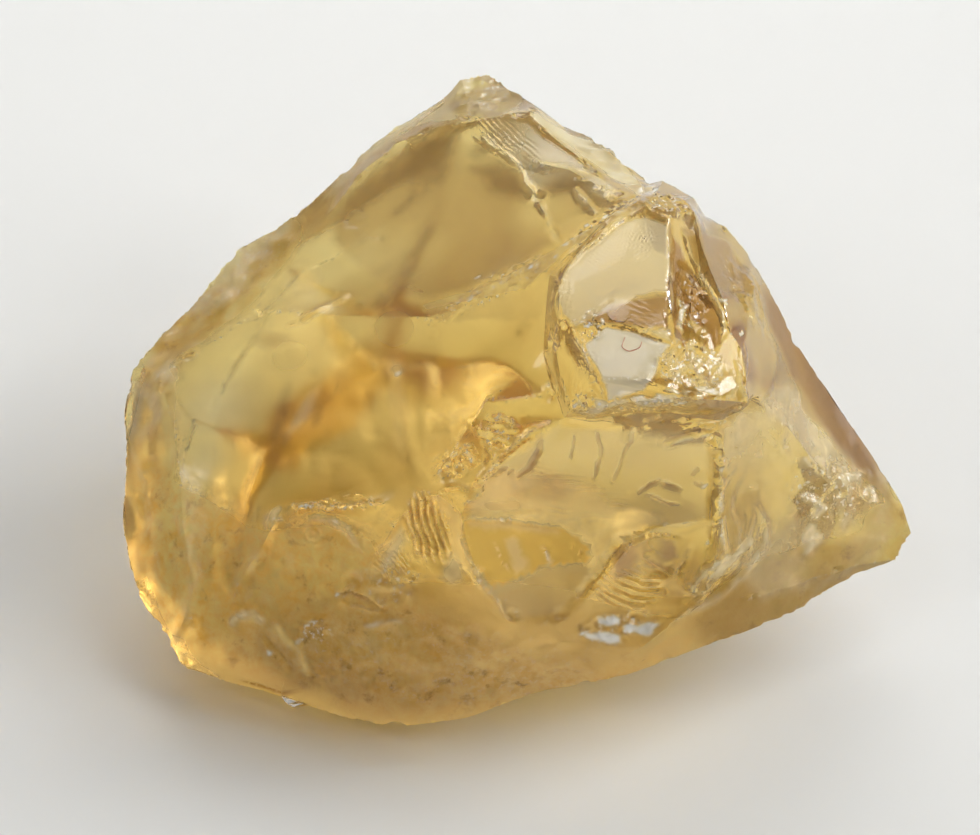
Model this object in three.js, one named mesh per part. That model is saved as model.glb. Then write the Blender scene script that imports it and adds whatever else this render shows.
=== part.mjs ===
// Scapolite rough: one broken lump of clear honey-coloured crystal, about 18 mm wide,
// standing on the flat cleavage face it rests on.
//
// Its surface is a cage of corners joined by ridges, a front sheet and a back sheet that
// meet at the rim. Each loop of ridges is one fracture face, drawn in to the shallow dish
// of a conchoidal break.
import * as THREE from 'three';

// ---------------------------------------------------------------- dimensions, mm
const LEAN = THREE.MathUtils.degToRad(40); // the broad face leans back this far
const REST_DEPTH = 5.6; // the rest face lies this far under the middle of the stone
const LONGEST_EDGE = 0.95; // a triangle's side, after splitting
const EVEN_ROUNDS = 12; // rounds that even out the triangles
const SETTLE_ROUNDS = 300; // rounds that settle each face between its ridges
const DISH_RADIUS = 3; // radius of a fracture dish, in widths of its face
const LEAST_SHARE = 0.35; // a triangle keeps at least this share of its area in a round

const HONEY = 0xc9a25a;
const GLOSS_ROUGHNESS = 0.12;

// Corners, in the frame of the broad face: x to the right, y up the face, z out of it.
const frontCorners = {
  // the outline where front turns to back, clockwise from the peak
  rim: [
    [-0.65, 7.9, -4.3], [-0.05, 8.05, -4.3], [0.5, 7.7, -4.1], [1.05, 7.25, -3.7],
    [1.75, 6.7, -3.0], [2.65, 6.25, -2.2], [3.15, 5.75, -1.5], [3.65, 5.35, -0.8],
    [3.95, 5.4, -0.2], [4.65, 5.0, 0.0], [4.9, 4.6, -0.1], [5.4, 4.35, -0.2],
    [5.95, 3.6, -0.4], [6.45, 2.75, -0.6], [6.9, 1.8, -0.8], [7.75, 0.6, -1.0],
    [8.65, -0.7, -1.3], [9.4, -1.85, -1.5], [9.65, -2.65, -1.6], [9.35, -3.25, -1.5],
    [8.5, -3.8, -1.2], [7.1, -4.35, -0.7], [5.6, -4.95, -0.2], [4.2, -5.45, 0.1],
    [2.7, -6.0, 0.2], [1.15, -6.45, 0.2], [-0.45, -6.85, 0.1], [-2.1, -7.0, 0.0],
    [-3.45, -6.8, -0.2], [-4.55, -6.45, -0.4], [-5.8, -6.1, -0.7], [-7.1, -5.7, -1.0],
    [-7.65, -5.1, -1.2], [-7.9, -4.4, -1.4], [-8.25, -3.5, -1.7], [-8.5, -2.35, -2.0],
    [-8.55, -1.05, -2.3], [-8.45, 0.05, -2.6], [-8.25, 1.1, -2.9], [-7.55, 2.0, -3.2],
    [-6.75, 2.85, -3.5], [-5.9, 3.95, -3.7], [-5.05, 4.35, -3.7], [-4.0, 5.15, -3.9],
    [-2.9, 6.2, -4.2], [-2.1, 6.85, -4.4], [-1.15, 7.4, -4.4],
  ],
  // the flank just inside the upper left rim, up to the crest
  flank: [[-5.3, 3.6, -3.1], [-4.35, 4.1, -3.0], [-3.7, 4.7, -3.0], [-2.95, 5.75, -3.2]],
  // the crest over the hollow upper face, then the top of the striped band
  crest: [
    [-1.9, 6.5, -3.3], [-1.25, 6.75, -3.0], [-0.45, 6.8, -2.6], [0.25, 7.0, -2.5],
    [0.9, 6.95, -2.2], [1.5, 6.35, -1.5], [2.05, 5.95, -0.9], [2.55, 5.4, -0.2],
    [3.4, 5.05, 0.9],
  ],
  // the foot of the striped band
  band: [[-0.3, 6.45, -2.3], [0.25, 6.15, -1.9], [0.75, 5.7, -1.3], [0.9, 5.35, -0.8]],
  // the small dish between the band and the knob
  dish: [[1.15, 5.8, -0.9], [1.8, 5.65, -0.6], [1.3, 4.6, 0.3]],
  // the sparkling lower edge of the hollow upper face
  spark: [[0.7, 3.3, 1.6], [-0.25, 2.75, 1.2], [-1.2, 2.25, 0.8], [-3.2, 2.3, -0.6],
    [-5.3, 2.45, -1.9]],
  // the foot of the knob's walls, round its left side and under it
  foot: [
    [3.1, 4.85, 1.3], [2.5, 4.4, 1.6], [1.75, 3.85, 1.8], [1.35, 3.2, 2.2],
    [1.25, 2.35, 2.6], [1.2, 1.45, 2.8], [1.35, 0.5, 3.0], [1.65, 0.0, 3.0],
    [2.45, -0.15, 3.1], [3.55, -0.15, 3.2], [4.7, -0.25, 3.0], [5.2, -0.05, 2.8],
    [5.8, 0.25, 2.3],
  ],
  // the edge of the knob's window, then the facet under it
  knob: [
    [3.35, 4.8, 2.3], [2.75, 4.5, 2.7], [2.2, 4.0, 3.1], [1.75, 3.45, 3.4],
    [1.55, 2.85, 3.7], [1.55, 2.2, 3.9], [1.75, 2.1, 4.0], [2.1, 1.55, 4.1],
    [2.3, 0.85, 4.15], [2.25, 0.25, 4.1], [3.3, 0.4, 4.3], [4.4, 0.45, 4.25],
    [3.45, 0.85, 4.35], [3.7, 1.25, 4.3], [4.1, 1.75, 4.2], [4.0, 2.6, 3.8],
    [4.0, 3.6, 3.1], [4.0, 4.55, 2.5],
  ],
  // the left wall of the facet under the window
  jaw: [[1.45, 1.6, 3.7], [1.6, 0.7, 3.75], [1.85, 0.2, 3.8]],
  // the fold between the window and the facet
  fold: [[2.7, 2.2, 4.15], [3.45, 2.0, 4.2]],
  // the floor of the narrow recess right of the window
  pit: [[4.7, 3.5, 2.0], [4.45, 2.75, 2.5], [4.45, 1.7, 3.6]],
  // the knob's right edge beyond the recess
  shoulder: [
    [4.55, 4.6, 1.8], [4.85, 3.5, 2.3], [5.25, 2.6, 2.8], [5.35, 1.9, 3.1],
    [5.65, 1.55, 3.0], [5.7, 0.8, 3.1], [5.7, 0.35, 3.05],
  ],
  // the two small bumps over the knob
  bump: [[3.7, 5.0, 1.4], [4.3, 4.9, 1.2]],
  // the chipped corner at the knob's lower right
  crumb: [[4.65, 1.0, 3.6], [5.05, 1.45, 3.3]],
  // the back edge of the grey face right of the recess
  side: [[5.95, 2.85, 1.2], [5.8, 1.95, 2.2]],
  // the ridge down the front, and the strip along the lower right rim
  spine: [[5.2, -1.2, 2.3], [5.2, -2.3, 1.9], [5.1, -3.1, 1.6], [4.75, -4.1, 0.95]],
  skirt: [[5.6, -4.15, 0.45], [7.0, -3.8, -0.2], [8.4, -3.35, -0.9]],
  // the strip along the right rim, and the soft ridge across the right face
  edge: [[7.25, 0.4, -0.2], [8.1, -0.85, -0.6], [8.9, -1.95, -1.0]],
  cheek: [[6.9, -0.3, 1.2], [7.6, -1.5, 0.4]],
  // the hollow front face
  front: [
    [0.9, -0.45, 2.9], [0.2, -1.05, 2.8], [-0.4, -1.65, 2.7], [-0.65, -2.2, 2.6],
    [-0.5, -2.9, 2.4], [-0.2, -3.65, 2.1], [0.3, -4.25, 1.8], [1.0, -4.7, 1.5],
    [1.7, -4.6, 1.4], [2.25, -4.05, 1.6], [2.75, -3.4, 1.9], [3.35, -2.6, 2.1],
    [4.15, -2.35, 2.1],
  ],
  // the chip under it
  chip: [[2.0, -4.9, 1.1], [2.55, -5.2, 0.8], [3.45, -5.2, 0.7], [4.1, -4.7, 0.8]],
  // the crumbled ridge from the knob down to the left, and the hackles under it
  crackle: [[-0.05, 0.35, 2.8], [-0.8, -0.7, 2.6], [-1.2, -1.3, 2.45]],
  hackle: [[-1.15, -1.6, 2.5], [-1.95, -2.1, 2.1], [-2.5, -3.0, 1.6], [-3.1, -3.85, 1.15],
    [-3.45, -4.1, 0.95]],
  tail: [[-0.95, -3.9, 1.7], [-2.05, -4.15, 1.35]],
  // the lower edge of the broad face, round to the lower left
  arc: [
    [-2.45, -1.9, 1.85], [-3.8, -1.85, 1.3], [-4.85, -2.25, 0.85], [-5.15, -2.95, 0.6],
    [-5.7, -3.7, 0.25], [-5.85, -4.5, 0.05], [-5.1, -4.55, 0.35], [-4.5, -5.2, 0.35],
    [-4.05, -5.95, 0.05],
  ],
  // the ridge inside the left rim
  left: [[-7.6, 0.95, -2.1], [-7.15, -0.5, -1.1], [-7.05, -2.1, -0.7], [-6.75, -3.7, -0.4],
    [-6.85, -5.0, -0.6]],
  // the rough skin at the bottom
  skin: [[-0.5, -5.1, 1.25], [-1.4, -5.8, 0.75], [-2.9, -5.4, 0.75]],
};

// Ridges of the front that tie those lines together.
const frontJoins = [
  // rim, flank and crest
  'rim41 flank0', 'flank2 rim43', 'flank3 crest0 rim45', 'rim0 crest2', 'rim3 crest4',
  'rim5 crest6', 'rim7 crest8',
  // striped band and small dish
  'crest2 band0', 'band2 dish0', 'dish1 foot0 crest8', 'band3 dish2 foot2',
  // lower edge of the hollow upper face
  'foot2 spark0', 'spark4 flank0', 'spark4 rim40', 'spark4 left0 rim38',
  // knob: walls, window, facet and recess
  'knob17 knob0', 'foot0 knob0 crest8', 'foot3 knob4', 'foot5 jaw0', 'knob5 jaw0',
  'foot7 jaw2 knob9', 'foot9 knob10', 'foot11 knob11 shoulder6 foot12',
  'knob6 fold0', 'fold1 knob14', 'knob8 knob12', 'knob17 pit0 shoulder0 knob17',
  'knob14 pit2 crumb1 shoulder3', 'knob13 crumb0 shoulder5', 'crumb0 knob11',
  // bumps and the grey side face
  'crest8 bump0 knob17', 'bump0 rim8', 'rim9 bump1 shoulder0 rim10',
  'rim12 side0', 'side1 shoulder4',
  // right face
  'rim14 edge0', 'edge2 rim18', 'foot12 cheek0', 'cheek1 edge2', 'skirt2 rim19',
  'foot11 spine0', 'chip3 spine3 skirt0 rim22',
  // front face and its chip
  'foot7 front0', 'front12 spine1', 'front8 chip0', 'chip1 rim24', 'chip3 rim23',
  // crumbled ridge, hackles and bottom skin
  'foot6 crackle0', 'crackle2 hackle0 front2', 'hackle1 arc0', 'front5 tail0',
  'tail1 hackle4 skin2 arc8 rim28', 'hackle4 arc7', 'front6 skin0', 'skin1 rim26',
  // left rim
  'arc5 left4 rim31',
];

// Corners of the back, in the standing frame: x, y, and height over the rest face.
const backCorners = {
  // the flat cleavage that the stone rests on
  rest: [
    [-4.4, -2.9, 0], [-1.6, -3.6, 0], [1.8, -2.8, 0], [4.2, -1.6, 0], [4.6, 1.0, 0],
    [2.4, 3.8, 0], [-1.4, 4.6, 0], [-4.6, 2.6, 0], [-5.6, -0.8, 0],
  ],
  // the swelling between the rim and the rest face, from behind the peak to the right
  right: [[0.2, 7.6, 4.2], [3.6, 5.4, 2.8], [6.2, 2.6, 2.5], [7.6, -0.6, 2.0], [6.0, -2.1, 1.4]],
  // and from the lower left up to the peak
  west: [[-5.9, -2.8, 0.6], [-7.3, -1.2, 1.0], [-7.0, 2.2, 2.1], [-4.5, 5.6, 3.2]],
};

// Ridges of the back that tie its lines together and to the rim.
const backJoins = [
  'west3 right0', 'rim1 right0 rest6', 'rim6 right1 rest5', 'rim13 right2 rest4',
  'rim18 right3 rest4', 'rim21 right4 rest3', 'rim24 rest2', 'rim27 rest1',
  'rim29 west0 rest0', 'rim34 west1 rest8', 'rim39 west2 rest7', 'rim42 west3 rest6',
];

// How a face departs from the usual dish: 1 is usual, 0 flat, below 0 swollen. Each is
// named by a point inside it.
const frontBends = [
  { at: [-1.5, 4.5], bend: 1.8 }, // hollow upper face
  { at: [-4.0, 0.0], bend: 0.7 }, // broad face
  { at: [1.5, -2.5], bend: 2.0 }, // hollow front face
  { at: [3.8, -3.8], bend: 1.8 }, // chip under it
  { at: [2.8, 3.3], bend: 0.6 }, // knob's window
  { at: [3.0, 1.5], bend: 0.3 }, // facet under the window
  { at: [1.4, 5.2], bend: 1.6 }, // small dish beside the band
  { at: [-7.8, -2.5], bend: -1.0 }, // left rim
  { at: [-5.5, -5.3], bend: -0.8 }, // lower left
  { at: [-2.0, -6.2], bend: -1.0 }, // bottom skin
  { at: [-1.5, -4.7], bend: -0.6 }, // skin under the hackles
  { at: [1.0, -5.5], bend: -0.6 }, // skin under the front face
  { at: [6.5, -2.5], bend: 0.8 }, // lower right face
];
const backBends = [
  { at: [0.0, -3.2], bend: 0 }, // the rest face
];

// ---------------------------------------------------------------- the cage
const isLoop = (line) => line === 'rim' || line === 'rest';

/** From the standing frame, with height over the rest face, to the broad face's frame. */
function toFaceFrame([x, y, height]) {
  const point = new THREE.Vector3(x, y, height - REST_DEPTH);
  return point.applyAxisAngle(new THREE.Vector3(1, 0, 0), -LEAN);
}

/** Puts each line's corners in the cage by name, and returns the ridges along the lines. */
function addLines(cage, lines, toPoint) {
  const ridges = [];
  for (const [line, corners] of Object.entries(lines)) {
    corners.forEach((corner, i) => {
      const name = line + i;
      if (!cage.ids.has(name)) {
        cage.ids.set(name, cage.points.length);
        cage.points.push(toPoint(corner));
      }
      if (i > 0) ridges.push([line + (i - 1), name]);
    });
    if (isLoop(line)) ridges.push([line + (corners.length - 1), line + 0]);
  }
  return ridges.map((ends) => ends.map((name) => cage.ids.get(name)));
}

/** The ridges of a list of joins, each a row of corner names. */
function joinRidges(cage, joins) {
  return joins.flatMap((join) => {
    const ids = join.split(' ').map((name) => cage.ids.get(name));
    return ids.slice(1).map((id, i) => [ids[i], id]);
  });
}

/** Walks round every loop of ridges, counterclockwise seen along -z, without the outside. */
function traceLoops(points, ridges) {
  const neighbours = new Map();
  for (const [a, b] of [...ridges, ...ridges.map(([a, b]) => [b, a])]) {
    neighbours.set(a, [...(neighbours.get(a) ?? []), b]);
  }
  for (const [a, ring] of neighbours) {
    const bearing = (b) => Math.atan2(points[b].y - points[a].y, points[b].x - points[a].x);
    ring.sort((b, c) => bearing(b) - bearing(c));
  }
  const walked = new Set();
  const loops = [];
  for (const ridge of [...ridges, ...ridges.map(([a, b]) => [b, a])]) {
    const loop = [];
    let [from, to] = ridge;
    while (!walked.has(`${from} ${to}`)) {
      walked.add(`${from} ${to}`);
      loop.push(from);
      const ring = neighbours.get(to);
      const turn = ring[(ring.indexOf(from) + ring.length - 1) % ring.length];
      [from, to] = [to, turn];
    }
    if (loop.length > 2 && THREE.ShapeUtils.area(loop.map((id) => points[id])) > 0) {
      loops.push(loop);
    }
  }
  return loops;
}

/** True where a point in x and y lies inside a loop. */
function holds(loop, points, [x, y]) {
  let inside = false;
  loop.forEach((id, i) => {
    const a = points[id];
    const b = points[loop[(i + 1) % loop.length]];
    if (a.y > y !== b.y > y && x < ((b.x - a.x) * (y - a.y)) / (b.y - a.y) + a.x) {
      inside = !inside;
    }
  });
  return inside;
}

/** Adds one sheet: its lines, its ridges, and a few long triangles in each of its faces. */
function addSheet(cage, { lines, joins, bends, toPoint, faceUp }) {
  const ridges = [...addLines(cage, lines, toPoint), ...joinRidges(cage, joins)];
  ridges.forEach(([a, b]) => cage.ridges.add(edgeKey(a, b)));
  for (const loop of traceLoops(cage.points, ridges)) {
    const outline = loop.map((id) => cage.points[id]);
    const width = Math.sqrt(THREE.ShapeUtils.area(outline));
    const bend = bends.find(({ at }) => holds(loop, cage.points, at))?.bend ?? 1;
    const curve = (faceUp ? bend : -bend) / (DISH_RADIUS * width);
    for (const corners of THREE.ShapeUtils.triangulateShape(outline, [])) {
      const ids = corners.map((i) => loop[i]);
      cage.triangles.push({ ids: faceUp ? ids : ids.reverse(), curve });
    }
  }
}

// ---------------------------------------------------------------- the fracture faces
const edgeKey = (a, b) => (a < b ? `${a} ${b}` : `${b} ${a}`);

/** Cuts every edge that is too long at its middle. Returns whether any was. */
function splitLongEdges(cage) {
  const middles = new Map();
  const middleOf = (a, b) => {
    const key = edgeKey(a, b);
    if (!middles.has(key) && cage.points[a].distanceTo(cage.points[b]) > LONGEST_EDGE) {
      const middle = cage.points.push(cage.points[a].clone().lerp(cage.points[b], 0.5)) - 1;
      middles.set(key, middle);
      if (cage.ridges.delete(key)) {
        cage.ridges.add(edgeKey(a, middle)).add(edgeKey(middle, b));
      }
    }
    return middles.get(key);
  };
  cage.triangles = cage.triangles.flatMap(({ ids, curve }) => {
    const cuts = ids.map((id, i) => middleOf(id, ids[(i + 1) % 3]));
    const pieces = [];
    const rest = [];
    ids.forEach((id, i) => {
      const before = cuts[(i + 2) % 3];
      if (before !== undefined && cuts[i] !== undefined) pieces.push([before, id, cuts[i]]);
      else rest.push(id);
      if (cuts[i] !== undefined) rest.push(cuts[i]);
    });
    const start = Math.max(0, rest.findIndex((id) => cuts.includes(id)));
    const ring = [...rest.slice(start), ...rest.slice(0, start)];
    for (let i = 2; i < ring.length; i++) pieces.push([ring[0], ring[i - 1], ring[i]]);
    return pieces.map((piece) => ({ ids: piece, curve }));
  });
  return middles.size > 0;
}

/** Twice a triangle's area, as seen along -z. */
function flatArea([a, b, c]) {
  return (b.x - a.x) * (c.y - a.y) - (c.x - a.x) * (b.y - a.y);
}

/** Each point that is on no ridge, with the triangles round it. */
function freePoints(cage) {
  const onRidge = new Set([...cage.ridges].flatMap((key) => key.split(' ').map(Number)));
  const around = new Map();
  for (const triangle of cage.triangles) {
    for (const id of triangle.ids) {
      if (!onRidge.has(id)) around.set(id, [...(around.get(id) ?? []), triangle]);
    }
  }
  return around;
}

/** Moves the free points sideways towards the middle of their neighbours. */
function evenOut(cage, around) {
  for (const [id, triangles] of around) {
    const point = cage.points[id];
    const areas = () => triangles.map(({ ids }) => flatArea(ids.map((i) => cage.points[i])));
    const before = areas();
    const middle = new THREE.Vector3();
    const others = triangles.flatMap(({ ids }) => ids.filter((i) => i !== id));
    others.forEach((i) => middle.addScaledVector(cage.points[i], 1 / others.length));
    const kept = point.clone();
    point.set((point.x + middle.x) / 2, (point.y + middle.y) / 2, point.z);
    const least = Math.min(...before.map(Math.abs)) * LEAST_SHARE;
    const whole = areas().every((area, i) => area * Math.sign(before[i]) > least);
    if (!whole) point.copy(kept);
  }
}

/** Mean value weights of a point's neighbours, and how far its dish sinks under them. */
function dishWeights(cage, id, triangles) {
  const weights = new Map();
  const point = cage.points[id];
  for (const { ids } of triangles) {
    const [p, q] = ids.filter((i) => i !== id);
    const toP = new THREE.Vector2(cage.points[p].x - point.x, cage.points[p].y - point.y);
    const toQ = new THREE.Vector2(cage.points[q].x - point.x, cage.points[q].y - point.y);
    const half = Math.tan(toP.angleTo(toQ) / 2);
    weights.set(p, (weights.get(p) ?? 0) + half / toP.length());
    weights.set(q, (weights.get(q) ?? 0) + half / toQ.length());
  }
  const total = [...weights.values()].reduce((sum, weight) => sum + weight);
  let spread = 0;
  for (const [other, weight] of weights) {
    const { x, y } = cage.points[other];
    weights.set(other, weight / total);
    spread += ((x - point.x) ** 2 + (y - point.y) ** 2) * (weight / total);
  }
  return { id, weights, sink: (spread * triangles[0].curve) / 2 };
}

/** Lets every free point settle to the dish that hangs between the ridges of its face. */
function settle(cage, around) {
  const dishes = [...around].map(([id, triangles]) => dishWeights(cage, id, triangles));
  for (let round = 0; round < SETTLE_ROUNDS; round++) {
    for (const { id, weights, sink } of dishes) {
      let height = -sink;
      for (const [other, weight] of weights) height += cage.points[other].z * weight;
      cage.points[id].z = height;
    }
  }
}

// ---------------------------------------------------------------- the stone
function stoneGeometry() {
  const cage = { points: [], ids: new Map(), ridges: new Set(), triangles: [] };
  addSheet(cage, {
    lines: frontCorners,
    joins: frontJoins,
    bends: frontBends,
    toPoint: (corner) => new THREE.Vector3(...corner),
    faceUp: true,
  });
  addSheet(cage, {
    lines: { rim: frontCorners.rim, ...backCorners },
    joins: backJoins,
    bends: backBends,
    toPoint: toFaceFrame,
    faceUp: false,
  });
  while (splitLongEdges(cage));
  const around = freePoints(cage);
  for (let round = 0; round < EVEN_ROUNDS; round++) evenOut(cage, around);
  settle(cage, around);

  const geometry = new THREE.BufferGeometry().setFromPoints(cage.points);
  geometry.setIndex(cage.triangles.flatMap(({ ids }) => ids));
  geometry.computeVertexNormals();
  return geometry;
}

const material = new THREE.MeshStandardMaterial({
  color: HONEY,
  roughness: GLOSS_ROUGHNESS,
  metalness: 0,
});
const stone = new THREE.Mesh(stoneGeometry(), material);
stone.name = 'scapolite_rough';
stone.rotation.x = LEAN;

// The origin is in the middle of the stone's footprint, on the rest face's plane.
const footprint = new THREE.Box3().setFromObject(stone, true);
const middle = footprint.getCenter(new THREE.Vector3());
stone.position.set(-middle.x, -middle.y, REST_DEPTH);

const scapoliteRough = new THREE.Group();
scapoliteRough.add(stone);

export default scapoliteRough;
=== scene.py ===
"""A lump of scapolite rough on a pale floor: its surface, its clear golden material, the
fibre that lies on it, and plain studio light."""
import itertools
import math

import bmesh
import bpy
import numpy as np
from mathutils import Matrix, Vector, kdtree
from mathutils.bvhtree import BVHTree


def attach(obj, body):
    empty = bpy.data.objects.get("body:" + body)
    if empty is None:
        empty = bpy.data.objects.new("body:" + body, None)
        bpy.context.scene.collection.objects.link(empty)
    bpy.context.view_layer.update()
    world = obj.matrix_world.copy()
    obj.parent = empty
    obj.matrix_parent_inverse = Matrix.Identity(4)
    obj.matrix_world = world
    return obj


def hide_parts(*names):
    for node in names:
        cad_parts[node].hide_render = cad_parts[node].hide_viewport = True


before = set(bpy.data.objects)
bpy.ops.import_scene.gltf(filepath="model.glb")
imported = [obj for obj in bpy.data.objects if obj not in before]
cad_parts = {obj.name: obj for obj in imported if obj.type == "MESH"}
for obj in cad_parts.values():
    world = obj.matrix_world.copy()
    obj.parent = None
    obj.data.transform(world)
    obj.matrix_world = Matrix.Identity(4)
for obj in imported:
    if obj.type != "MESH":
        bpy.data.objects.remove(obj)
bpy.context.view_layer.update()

MM = 0.001
SEED = 7
rng = np.random.default_rng(SEED)

# ------------------------------------------------------------- the stone's own frame
# The broad face's frame: x to the right, y up the face, z out of it, in millimetres.
LEAN = math.radians(40)
FACE_MIDDLE = np.array([-0.55, -1.784, 5.6])
FACE_AXES = np.array([
    [1, 0, 0],
    [0, math.cos(LEAN), math.sin(LEAN)],
    [0, -math.sin(LEAN), math.cos(LEAN)],
])

# ------------------------------------------------------------- camera
PICTURE_WIDTH = 980
PIXELS_PER_MM = 44.0
CAMERA_DISTANCE = 160.0
SENSOR_WIDTH = 36.0
NEAREST = 10
FARTHEST = 2000


def to_face(points):
    """From metres in the row's frame to millimetres in the broad face's frame."""
    return (points / MM - FACE_MIDDLE) @ FACE_AXES.T


def to_row(points):
    """From millimetres in the broad face's frame to metres in the row's frame."""
    return (points @ FACE_AXES + FACE_MIDDLE) * MM


def add_piece(name, data):
    piece = bpy.data.objects.new(name, data)
    bpy.context.scene.collection.objects.link(piece)
    return piece


def add_camera():
    data = bpy.data.cameras.new("camera")
    data.sensor_width = SENSOR_WIDTH
    data.lens = SENSOR_WIDTH * CAMERA_DISTANCE * PIXELS_PER_MM / PICTURE_WIDTH
    data.clip_start = NEAREST * MM
    data.clip_end = FARTHEST * MM
    camera = add_piece("camera", data)
    camera.location = to_row(np.array([0, 0, CAMERA_DISTANCE]))
    camera.rotation_euler = (LEAN, 0, 0)
    bpy.context.scene.camera = camera


# ------------------------------------------------------------- mesh helpers
CREASE_ANGLE = math.radians(17)
SMOOTH_ROUNDS = 2


def welded(cad):
    """The CAD node's points and triangles, welded, in an order that only its shape sets."""
    mesh = cad.data
    mesh.calc_loop_triangles()
    points = np.empty(len(mesh.vertices) * 3)
    mesh.vertices.foreach_get("co", points)
    corners = np.empty(len(mesh.loop_triangles) * 3, int)
    mesh.loop_triangles.foreach_get("vertices", corners)
    whole = np.round(points.reshape(-1, 3) / MM, 3)
    points, place = np.unique(whole, axis=0, return_inverse=True)
    triangles = place.reshape(-1)[corners].reshape(-1, 3)
    first = triangles.argmin(axis=1)[:, None]
    triangles = np.take_along_axis(triangles, (first + np.arange(3)) % 3, axis=1)
    return points * MM, triangles[np.lexsort(triangles.T[::-1])]


def unit(vectors):
    length = np.linalg.norm(vectors, axis=-1, keepdims=True)
    return vectors / np.maximum(length, 1e-12)


def face_normals(points, triangles):
    a, b, c = (points[triangles[:, i]] for i in range(3))
    return np.cross(b - a, c - a)


def point_normals(points, triangles):
    normals = np.zeros_like(points)
    flat = face_normals(points, triangles)
    for i in range(3):
        np.add.at(normals, triangles[:, i], flat)
    return unit(normals)


def edges_of(triangles):
    """Each edge once, and the three edge numbers of each triangle: ab, bc, ca."""
    pairs = np.stack([triangles, np.roll(triangles, -1, axis=1)], axis=2).reshape(-1, 2)
    edges, place = np.unique(np.sort(pairs, axis=1), axis=0, return_inverse=True)
    return edges, place.reshape(-1, 3)


def find_creases(points, triangles):
    """The edges where two faces meet at more than the crease angle."""
    edges, place = edges_of(triangles)
    normals = unit(face_normals(points, triangles))
    total = np.zeros((len(edges), 3))
    for i in range(3):
        np.add.at(total, place[:, i], normals)
    # two unit normals at an angle t to each other add up to 2 cos(t / 2)
    return edges[np.linalg.norm(total, axis=1) < 2 * math.cos(CREASE_ANGLE / 2)]


def edge_codes(edges, count):
    return edges[:, 0].astype(np.int64) * count + edges[:, 1]


def neighbours(points, edges, count):
    """The sum of each point's neighbours along some edges, and how many there are."""
    ring = np.zeros((count, 3))
    valence = np.zeros(count)
    for a, b in ((0, 1), (1, 0)):
        np.add.at(ring, edges[:, a], points[edges[:, b]])
        np.add.at(valence, edges[:, a], 1)
    return ring, valence[:, None]


def smooth_split(points, triangles, creases):
    """One step of Loop's subdivision, in which creases stay sharp."""
    count = len(points)
    edges, place = edges_of(triangles)
    is_crease = np.isin(edge_codes(edges, count), edge_codes(creases, count))
    opposite = np.zeros((len(edges), 3))
    for i in range(3):
        np.add.at(opposite, place[:, i], points[triangles[:, (i + 2) % 3]])
    ends = points[edges[:, 0]] + points[edges[:, 1]]
    middles = np.where(is_crease[:, None], ends / 2, ends * 3 / 8 + opposite / 8)

    ring, valence = neighbours(points, edges, count)
    crease_ring, crease_valence = neighbours(points, creases, count)
    weight = 3 / 8 / valence
    moved = points * (1 - valence * weight) + ring * weight
    along = points * 3 / 4 + crease_ring / 8
    moved = np.where(crease_valence == 2, along, moved)
    moved = np.where(crease_valence > 2, points, moved)

    middle = count + place
    a, b, c = triangles.T
    ab, bc, ca = middle.T
    split = np.concatenate([
        np.stack(corner, axis=1)
        for corner in ((a, ab, ca), (ab, b, bc), (ca, bc, c), (ab, bc, ca))
    ])
    new_ids = count + np.flatnonzero(is_crease)
    halves = [np.stack([edges[is_crease][:, i], new_ids], axis=1) for i in range(2)]
    return np.concatenate([moved, middles]), split, np.concatenate(halves)


def make_mesh(name, points, triangles):
    mesh = bpy.data.meshes.new(name)
    mesh.from_pydata(points.tolist(), [], triangles.tolist())
    mesh.validate()
    return add_piece(name, mesh)


# ------------------------------------------------------------- noise
def smooth(share):
    share = np.clip(share, 0, 1)
    return share * share * (3 - 2 * share)


def soft_noise(points, size, seed):
    """Smooth random values from -1 to 1, in lumps about size across."""
    grid = points / size
    low = np.floor(grid).astype(np.int64)
    part = grid - low
    fade = part * part * (3 - 2 * part)
    value = np.zeros(len(points))
    for corner in itertools.product((0, 1), repeat=3):
        cell = low + corner
        code = (cell * (73856093, 19349663, 83492791)).sum(axis=1) + seed * 7919
        code = ((code ^ (code >> 13)) * 1274126177) & 0xFFFFFFFF
        random = ((code ^ (code >> 16)) & 0xFFFF) / 32767.5 - 1
        value += random * np.prod(np.where(corner, fade, 1 - fade), axis=1)
    return value


def layered_noise(points, layers):
    """Soft noise in lumps of several sizes: each layer is a size, a height and a seed."""
    return sum(soft_noise(points, size, seed) * height for size, height, seed in layers)


# ------------------------------------------------------------- places on the front
# Places on the front are given as the camera sees them, in millimetres on the plane through
# the middle of the face: x to the right, y up.
STRAYS = [((0.45, 0.05, seed), (0.15, 0.015, seed)) for seed in (41, 42)]


def seen(points):
    """Where the camera sees each point, on the plane through the middle of the face."""
    return points[:, :2] / (1 - points[:, 2:] / CAMERA_DISTANCE)


def strayed(points):
    """Where the camera sees each point, moved a little at random so that no line is ruled."""
    return seen(points) + np.stack([layered_noise(points, layers) for layers in STRAYS], axis=1)


def line_gap(flat, line):
    """Each point's distance to a line, which side it is on (left is above 0), and how far
    along the line it lies, from 0 to 1."""
    line = np.array(line, float)
    steps = np.linalg.norm(np.diff(line, axis=0), axis=1)
    starts = np.concatenate([[0], np.cumsum(steps)])
    near = np.full(len(flat), np.inf)
    side = np.zeros(len(flat))
    place = np.zeros(len(flat))
    for start, end, step, before in zip(line[:-1], line[1:], steps, starts):
        along = (end - start) / step
        away = flat - start
        reach = np.clip(away @ along, 0, step)
        gap = np.hypot(*(away - reach[:, None] * along).T)
        turned = along[0] * away[:, 1] - along[1] * away[:, 0]
        closer = gap < near
        near = np.where(closer, gap, near)
        side = np.where(closer, turned, side)
        place = np.where(closer, (before + reach) / starts[-1], place)
    return near, side, place


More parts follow.
